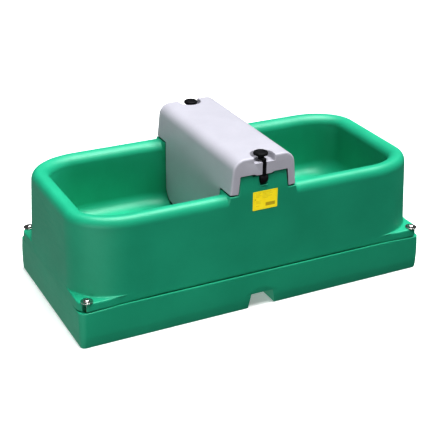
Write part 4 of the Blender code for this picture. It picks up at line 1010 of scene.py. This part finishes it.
def cover_half(kind, bottom, d=0.0, di=0.0):
    """Outside and inside of the half section, the outside pulled in by d and the inside by di."""
    rb = 0.0018
    mid = 0.3585 if bottom > 0.340 else COVER_LEG_Z
    xb = side_x(bottom) - d
    out = []
    for a in (0, 30, 60, 90):
        t = math.radians(a)
        out.append((xb - rb + rb * math.sin(t), bottom + di + rb * (1 - math.cos(t))))
    out += [(side_x(lerp(bottom, mid, 0.5)) - d, lerp(bottom, mid, 0.5)), (side_x(mid) - d, mid), (side_x(0.386) - d, 0.386)]
    a0 = math.degrees(DRAFT)
    for k in range(13):
        t = math.radians(lerp(a0, 90.0, k / 12))
        out.append((ARC_CX + (COVER_ARC - d) * math.cos(t), ARC_CZ + (COVER_ARC - d) * math.sin(t)))
    out += [(0.0400, COVER_TOP - d), (0.0200, COVER_TOP - d), (0.0, COVER_TOP - d)]
    if kind == 'band':
        ins = [(0.0784 - di, bottom), (0.0776 - di, 0.3520), (0.0770 - di, 0.3560), (0.0764 - di, 0.3610), (0.0758 - di, 0.3700), (0.0744 - di, 0.3830),
               (0.0734 - di, 0.3930)]
        xs = [(0.0728, 0.3965), (0.0715, 0.3988), (0.0690, 0.4000), (0.0640, 0.4000), (0.0560, 0.4000), (0.0480, 0.4000), (0.0400, 0.4000),
              (0.0330, 0.4000), (0.0290, 0.3992), (0.0255, 0.3975), (0.0225, 0.3963), (0.0200, 0.3960), (0.0150, 0.3960)]
        ins += [(x - di * 0.3, z - di) for x, z in xs]
        ins += [(0.0110, 0.3960 - di), (0.0060, 0.3960 - di), (0.0, 0.3960 - di)]
    else:
        r = COVER_ARC - COVER_SKIN
        leg = kind == 'leg'
        x0 = 0.0788 if leg else side_x(bottom) - COVER_SKIN
        ins = []
        for a in (90, 60, 30, 0):
            t = math.radians(a)
            ins.append((x0 + rb - rb * math.sin(t), bottom + rb * (1 - math.cos(t))))
        ins = ins[::-1]
        ins = [(x0 + rb, bottom), (x0 + rb * 0.5, bottom + rb * 0.13), (x0 + rb * 0.13, bottom + rb * 0.5), (x0, bottom + rb)]
        for z in (lerp(bottom, 0.370, 0.5), 0.3700, 0.3920):
            ins.append((lerp(0.0788, 0.0750, (z - bottom) / (0.405 - bottom)) if leg else side_x(z) - COVER_SKIN, z))
        for k in range(13):
            t = math.radians(lerp(a0, 90.0, k / 12))
            p = (ARC_CX + r * math.cos(t), ARC_CZ + r * math.sin(t))
            if leg and k < 3:
                p = (lerp(0.0752, p[0], k / 3.0), p[1])
            ins.append(p)
        ins += [(0.0400, COVER_TOP - COVER_SKIN), (0.0200, COVER_TOP - COVER_SKIN), (0.0, COVER_TOP - COVER_SKIN)]
    assert len(out) == len(ins), (len(out), len(ins))
    return out, ins


def panel_edge_y(z):
    return lerp(0.1680, PANEL_Y, max(0.0, min(1.0, (z - 0.200) / (0.330 - 0.200))))


def build_cover():
    R = 0.0060
    rows_def = []
    for a in (0, 15, 30, 45, 60, 75, 90):
        t = math.radians(a)
        rows_def.append((COVER_Y - R * (1 - math.cos(t)), 'band', COVER_LEG_Z, R * (1 - math.sin(t))))
    rows_def += [(COVER_Y - 0.0068, 'band', COVER_LEG_Z, 0.0), (COVER_Y - 0.0072, 'leg', COVER_LEG_Z, 0.0), (0.2000, 'leg', COVER_LEG_Z, 0.0),
                 (0.1990, 'shell', COVER_LEG_Z, 0.0), (0.1850, 'shell', COVER_LEG_Z, 0.0), (PANEL_Y + 0.0016, 'shell', COVER_LEG_Z, 0.0),
                 (PANEL_Y + 0.0006, 'shell', COVER_LEG_Z + 0.0002, 0.0), (PANEL_Y, 'edge', 0.3440, 0.0),
                 (PANEL_Y - 0.0001, 'edge', panel_bottom(0.1670), 0.0), (PANEL_Y - 0.0010, 'edge1', panel_bottom(0.1660), 0.0)]
    for y in (0.1655, 0.1640, 0.1615, 0.1580, 0.1540, 0.1490, 0.1440, 0.1390, 0.1330, 0.1270, 0.0800):
        rows_def.append((y, 'shell', panel_bottom(y), 0.0))
    rows_def = rows_def + [(0.0, 'shell', panel_bottom(0.0), 0.0)] + [(-y, k, b, d) for y, k, b, d in reversed(rows_def)]
    verts, rows = [], []
    for y, kind, bottom, d in rows_def:
        out, ins = cover_half('shell' if kind.startswith('edge') else kind, bottom, d, d * 0.35)
        loop = [(-x, z) for x, z in out] + [(x, z) for x, z in reversed(out[:-1])]
        loop += [(x, z) for x, z in ins] + [(-x, z) for x, z in reversed(ins[:-1])]
        row = []
        for x, z in loop:
            yy = y
            if kind.startswith('edge') and z < 0.3445:
                yy = math.copysign(panel_edge_y(z) - (0.0012 if kind == 'edge1' else 0.0), y)
            row.append(len(verts))
            verts.append((x, yy, z))
        rows.append(row)
    faces = [tuple(rows[0]), tuple(rows[-1])]
    for a, b in zip(rows, rows[1:]):
        n = len(a)
        faces += [(a[i], a[(i + 1) % n], b[(i + 1) % n], b[i]) for i in range(n)]
    ob = make("cover_moulding", verts, faces, GREY, 30.0)

    def dish(sy, grow, z):
        """Plan of the recess at one height, with a flared mouth at the end face."""
        r = DISH_R + (DISH_TOP_R - DISH_R) * (z - DISH_FLOOR) / (COVER_TOP - DISH_FLOOR) + grow
        pts = []
        for i in range(29):
            t = math.pi * i / 28
            pts.append((r * math.cos(t), sy * (DISH_CY - r * math.sin(t))))
        mouth = []
        f = 0.0030
        for k in range(6):
            t = math.pi / 2 * k / 5
            mouth.append((r + f * (1 - math.cos(t)), COVER_Y - f + f * math.sin(t)))
        mouth.append((r + f + 0.004, COVER_Y + 0.0020))
        mouth.append((r + f + 0.004, COVER_Y + 0.0200))
        left = [(-x, sy * y) for x, y in mouth]
        rightp = [(x, sy * y) for x, y in reversed(mouth)]
        return pts + left + rightp

    for sy, tag in ((-1, "front"), (1, "back")):
        y0, y1 = sorted((sy * 0.1815, sy * (COVER_Y - 0.0030)))
        blockp = prism("block_" + tag, [(-0.0370, y0), (0.0370, y0), (0.0370, y1), (-0.0370, y1)], DISH_FLOOR - 0.0045, COVER_TOP - 0.0020)
        boolean(ob, blockp, 'UNION')
        lv = []
        f0, f1 = 0.0025, 0.0022
        for k in range(6):
            t = math.pi / 2 * k / 5
            lv.append((DISH_FLOOR + f0 * (1 - math.cos(t)), -f0 * (1 - math.sin(t))))
        for k in range(7):
            t = math.pi / 2 * k / 6
            lv.append((COVER_TOP - f1 + f1 * math.sin(t), f1 * (1 - math.cos(t))))
        lv.append((COVER_TOP + 0.0030, f1 + 0.0030))
        cv, cf = [], []
        for z, grow in lv:
            for p in dish(sy, grow, z):
                cv.append((p[0], p[1], z))
        q = len(cv) // len(lv)
        cf.append(tuple(range(q)))
        cf.append(tuple((len(lv) - 1) * q + i for i in range(q)))
        for k in range(len(lv) - 1):
            cf += [(k * q + i, k * q + (i + 1) % q, (k + 1) * q + (i + 1) % q, (k + 1) * q + i) for i in range(q)]
        boolean(ob, make("dish_" + tag, cv, cf, None))
        y0, y1 = sorted((sy * 0.2235, sy * 0.2600))
        ring = eased([(-0.0060, y0), (0.0060, y0), (0.0060, y1), (-0.0060, y1)], 0.0025, 4, True)
        boolean(ob, prism("gap_" + tag, ring, 0.3800, 0.4350))
    shade(ob, 30.0)
    return piece(ob, "cover", ("cover_shell",))


def build_core():
    out = eased([(-0.0860, 0.4050), (0.0860, 0.4050), (0.0860, 0.4130), (0.0775, 0.4305), (0.0560, 0.4396), (-0.0560, 0.4396),
                 (-0.0775, 0.4305), (-0.0860, 0.4130)], 0.004, 4, True)
    return piece(prism("cover_foam", out, -0.1700, 0.1700, 'Y', FOAM, ease=0.0020), "cover", ("cover_core",))

# ------------------------------------------------------------------ latches


def fuse(name, parts, voxel, material, smooth=3):
    """Overlapping closed pieces made into one skin with softened joins, as a moulding has."""
    bm = bmesh.new()
    for part in parts:
        bm.from_mesh(part.data)
        bpy.data.objects.remove(part, do_unlink=True)
    me = bpy.data.meshes.new(name)
    bm.to_mesh(me)
    bm.free()
    ob = bpy.data.objects.new(name, me)
    scene.collection.objects.link(ob)
    me.materials.append(material)
    mod = ob.modifiers.new("skin", 'REMESH')
    mod.mode = 'VOXEL'
    mod.voxel_size = voxel
    mod.use_smooth_shade = True
    sm = ob.modifiers.new("ease", 'SMOOTH')
    sm.factor = 0.5
    sm.iterations = smooth
    bpy.context.view_layer.update()
    return apply_all(ob, 60.0)


def build_latch(tag, sy):
    foot = turn("foot_" + tag, eased([(0, -0.0110), (0.0115, -0.0110), (0.0115, 0.0110), (0, 0.0110)], 0.0018, 5), 48,
                (0, sy * LATCH_Y, LATCH_Z), 'X')
    for v in foot.data.vertices:
        v.co.x *= 0.92 + 0.115 * (v.co.z - (LATCH_Z - 0.0115)) / 0.0230
    w = 0.0042
    side = eased([(0.2090, 0.4300), (0.2275, 0.4295), (0.2290, 0.3780), (0.2367, 0.3830), (0.2367, 0.4345), (0.2345, 0.4378),
                  (0.2090, 0.4380)], 0.0025, 5, True)
    side = [(sy * a, b) for a, b in side]
    strap = prism("strap_" + tag, side, -w, w, 'X', ease=0.0012)
    prof = [(0, 0.4288)] + eased([(0.0, 0.4288), (0.0068, 0.4288), (0.0068, 0.4402), (0.0170, 0.4416), (0.0193, 0.4424),
                                  (0.0197, 0.4436), (0.0197, 0.4466), (0.0189, 0.4484), (0.0172, 0.4489), (0.0158, 0.4503), (0.0138, 0.4504),
                                  (0.0116, 0.4482), (0.0050, 0.4479), (0.0, 0.4481)], 0.0009, 4)[1:-1] + [(0, 0.4481)]
    idx = [i for i, p in enumerate(prof) if p[0] > 0.0180 and p[1] < 0.4482]
    head = turn("head_" + tag, prof, 192, (0, sy * HEAD_Y, 0), flute=(idx, 22, 0.0012))
    ob = fuse("latch_" + tag + "_rubber", [head, strap, foot], 0.00045, RUBBER)
    return piece(ob, "latch_" + tag, ("latch_" + tag,))


# ------------------------------------------------------------------ fasteners


def build_fasteners():
    for tag, sx, sy in (("fl", -1, -1), ("fr", 1, -1), ("bl", -1, 1), ("br", 1, 1)):
        c = (sx * BOLT_X, sy * BOLT_Y, 0)
        w = turn("washer_" + tag, eased([(0.0044, 0.1303), (0.0163, 0.1303), (0.0163, 0.1323), (0.0044, 0.1323)], 0.0004, 3, True), 72, c,
                 material=STAINLESS)
        piece(w, "trough", ("corner_washer_" + tag,))
        dome = [(0.0095 * math.sin(math.radians(a)), 0.1338 + 0.0049 * math.cos(math.radians(a))) for a in (90, 80, 70, 60, 50, 40, 32)]
        prof = [(0, 0.0930), (0.0034, 0.0930), (0.0040, 0.0936), (0.0040, 0.1326), (0.0092, 0.1326), (0.0095, 0.1329)] + dome
        prof += [(0.0040, 0.1381), (0.0029, 0.1379), (0.0027, 0.1375), (0.0027, 0.1352), (0, 0.1352)]
        k = len(prof)
        b = turn("bolt_" + tag, prof, 72, c, material=STAINLESS, hexes=(k - 3, k - 2))
        piece(b, "trough", ("corner_bolt_" + tag,))
        i = turn("insert_" + tag, eased([(0.0043, 0.0860), (0.0053, 0.0860), (0.0053, 0.1056), (0.0043, 0.1056)], 0.0003, 2, True), 36, c,
                 material=BRASS)
        piece(i, "trough", ("corner_insert_" + tag,))


def build_label():
    def fy(z):
        if z < RIM_Z:
            return lerp(WALL_B, RIM_B, (z - EAR_TOP) / (RIM_Z - EAR_TOP))
        return lerp(0.2377, 0.2376, (z - RIM_Z) / (LEDGE_Z - RIM_Z))
    r = 0.0020
    outline = rounded((LABEL_X[1] - LABEL_X[0]) / 2, (LABEL_Z[1] - LABEL_Z[0]) / 2, r, (LABEL_X[0] + LABEL_X[1]) / 2,
                      (LABEL_Z[0] + LABEL_Z[1]) / 2, 5)
    bm = bmesh.new()
    front = [bm.verts.new((x, 0.0, z)) for x, z in outline]
    bm.faces.new(front)
    bmesh.ops.bisect_plane(bm, geom=bm.verts[:] + bm.edges[:] + bm.faces[:], plane_co=(0, 0, RIM_Z), plane_no=(0, 0, 1))
    for v in bm.verts:
        v.co.y = -fy(v.co.z) - 0.00045
    me = bpy.data.meshes.new("label")
    bm.to_mesh(me)
    bm.free()
    ob = bpy.data.objects.new("label_film", me)
    scene.collection.objects.link(ob)
    me.materials.append(LABEL)
    s = ob.modifiers.new("film", 'SOLIDIFY')
    s.thickness = 0.00035
    s.offset = 0.0
    apply_all(ob, 30.0)
    return piece(ob, "trough", ("rating_label",))


build_tub()
build_base()
build_gasket()
grey_cover = build_cover()
build_core()
build_latch("front", -1)
build_latch("back", 1)
build_fasteners()
label = build_label()

# ------------------------------------------------------------------ finishes on the CAD pieces that stay
FINISH = {"green_shell": GREEN, "grey_shell": GREY, "black_rubber": RUBBER, "stainless": STAINLESS, "brass": BRASS, "aluminium": ALU,
          "label_film": LABEL, "foam": FOAM, "black_plastic": BLACK, "box_plastic": BOXPL, "float_plastic": FLOATP,
          "cable_sheath": SHEATH}
slot_of = {s["node"]: s["material_slot"] for s in frame["record"]["subparts"]}
for name, ob in frame["nodes"].items():
    ob.data.materials.clear()
    ob.data.materials.append(FINISH[slot_of[name]])
    for p in ob.data.polygons:
        p.material_index = 0

# ------------------------------------------------------------------ floor, lights
# a round pale floor that sweeps up far behind the trough
rings = [(6.0, -0.0002)] + [(6.0 + 4.0 * math.sin(math.radians(a)), 4.0 - 4.0 * math.cos(math.radians(a))) for a in range(6, 91, 6)] + [(10.0, 16.0)]
verts = [(r * math.cos(math.tau * k / 96), r * math.sin(math.tau * k / 96), z) for r, z in rings for k in range(96)]
faces = [tuple(range(96))] + grid_faces(96, 0, len(rings) - 1)
me = bpy.data.meshes.new("floor")
me.from_pydata(verts, [], faces)
for q in me.polygons:
    q.use_smooth = len(q.vertices) == 4
floor = bpy.data.objects.new("floor", me)
scene.collection.objects.link(floor)
ft = Mat("floor_pale")
me.materials.append(ft.finish(Base_Color=(0.75, 0.75, 0.75), Roughness=0.9, Specular_IOR_Level=0.0, Emission_Color=(1.0, 1.0, 1.0), Emission_Strength=0.35))
floor.visible_diffuse = False      # the pale floor is only a backdrop: it throws no light back on the trough
floor.visible_glossy = False
floor.visible_shadow = False

world = bpy.data.worlds.new("studio")
scene.world = world
world.use_nodes = True
world.node_tree.nodes["Background"].inputs[0].default_value = (1.0, 1.0, 1.0, 1.0)
wn, wl = world.node_tree.nodes, world.node_tree.links


def wmath(op, *vals):
    m = wn.new("ShaderNodeMath")
    m.operation = op
    for k, v in enumerate(vals):
        if hasattr(v, "is_output"):
            wl.new(v, m.inputs[k])
        else:
            m.inputs[k].default_value = v
    return m.outputs[0]


def wramp(v, a, b, c, d):
    m = wn.new("ShaderNodeMapRange")
    m.interpolation_type = 'SMOOTHSTEP'
    wl.new(v, m.inputs[0])
    for k, q in enumerate((a, b, c, d)):
        m.inputs[k + 1].default_value = q
    return m.outputs[0]


# soft surroundings: dim above, paler below the horizon like a white sweep, palest to the left
wsep = wn.new("ShaderNodeSeparateXYZ")
wl.new(wn.new("ShaderNodeTexCoord").outputs["Generated"], wsep.inputs[0])
below = wramp(wsep.outputs["Z"], 0.10, -0.35, 0.0, 1.0)
leftward = wramp(wsep.outputs["X"], 0.30, -0.50, 0.03, 0.55)
wl.new(wmath('ADD', wmath('MULTIPLY', below, leftward), 0.095), wn["Background"].inputs[1])


def lamp(name, kind, energy, location, target, only=(), **kw):
    d = bpy.data.lights.new(name, kind)
    d.energy = energy
    for k, v in kw.items():
        setattr(d, k, v)
    o = bpy.data.objects.new(name, d)
    scene.collection.objects.link(o)
    if only:
        group = bpy.data.collections.new(name + "_receivers")
        for ob in only:
            group.objects.link(ob)
        o.light_linking.receiver_collection = group
    o.location = location
    o.rotation_euler = (Vector(target) - Vector(location)).to_track_quat('-Z', 'Y').to_euler()
    return o


lamp("top_sun", 'SUN', 6.4, (0.75, -0.22, 4.0), (0, 0, 0), angle=math.radians(48))
lamp("left_fill", 'AREA', 21, (-2.05, -1.85, 0.28), (-0.2, -0.1, 0.2), shape='RECTANGLE', size=2.4, size_y=0.5)
lamp("cover_card_left", 'AREA', 5.8, (-1.25, 0.0, 1.0), (0.0, 0.0, 0.4), only=(grey_cover,), shape='RECTANGLE', size=0.9, size_y=0.7)
lamp("cover_card_front", 'AREA', 6.5, (-0.1, -1.6, 0.75), (0.0, -0.2, 0.35), only=(grey_cover, label), shape='RECTANGLE', size=0.8, size_y=0.6)

scene.view_settings.view_transform = 'Standard'
scene.view_settings.look = 'None'
scene.view_settings.exposure = 0.0
scene.view_settings.gamma = 0.8
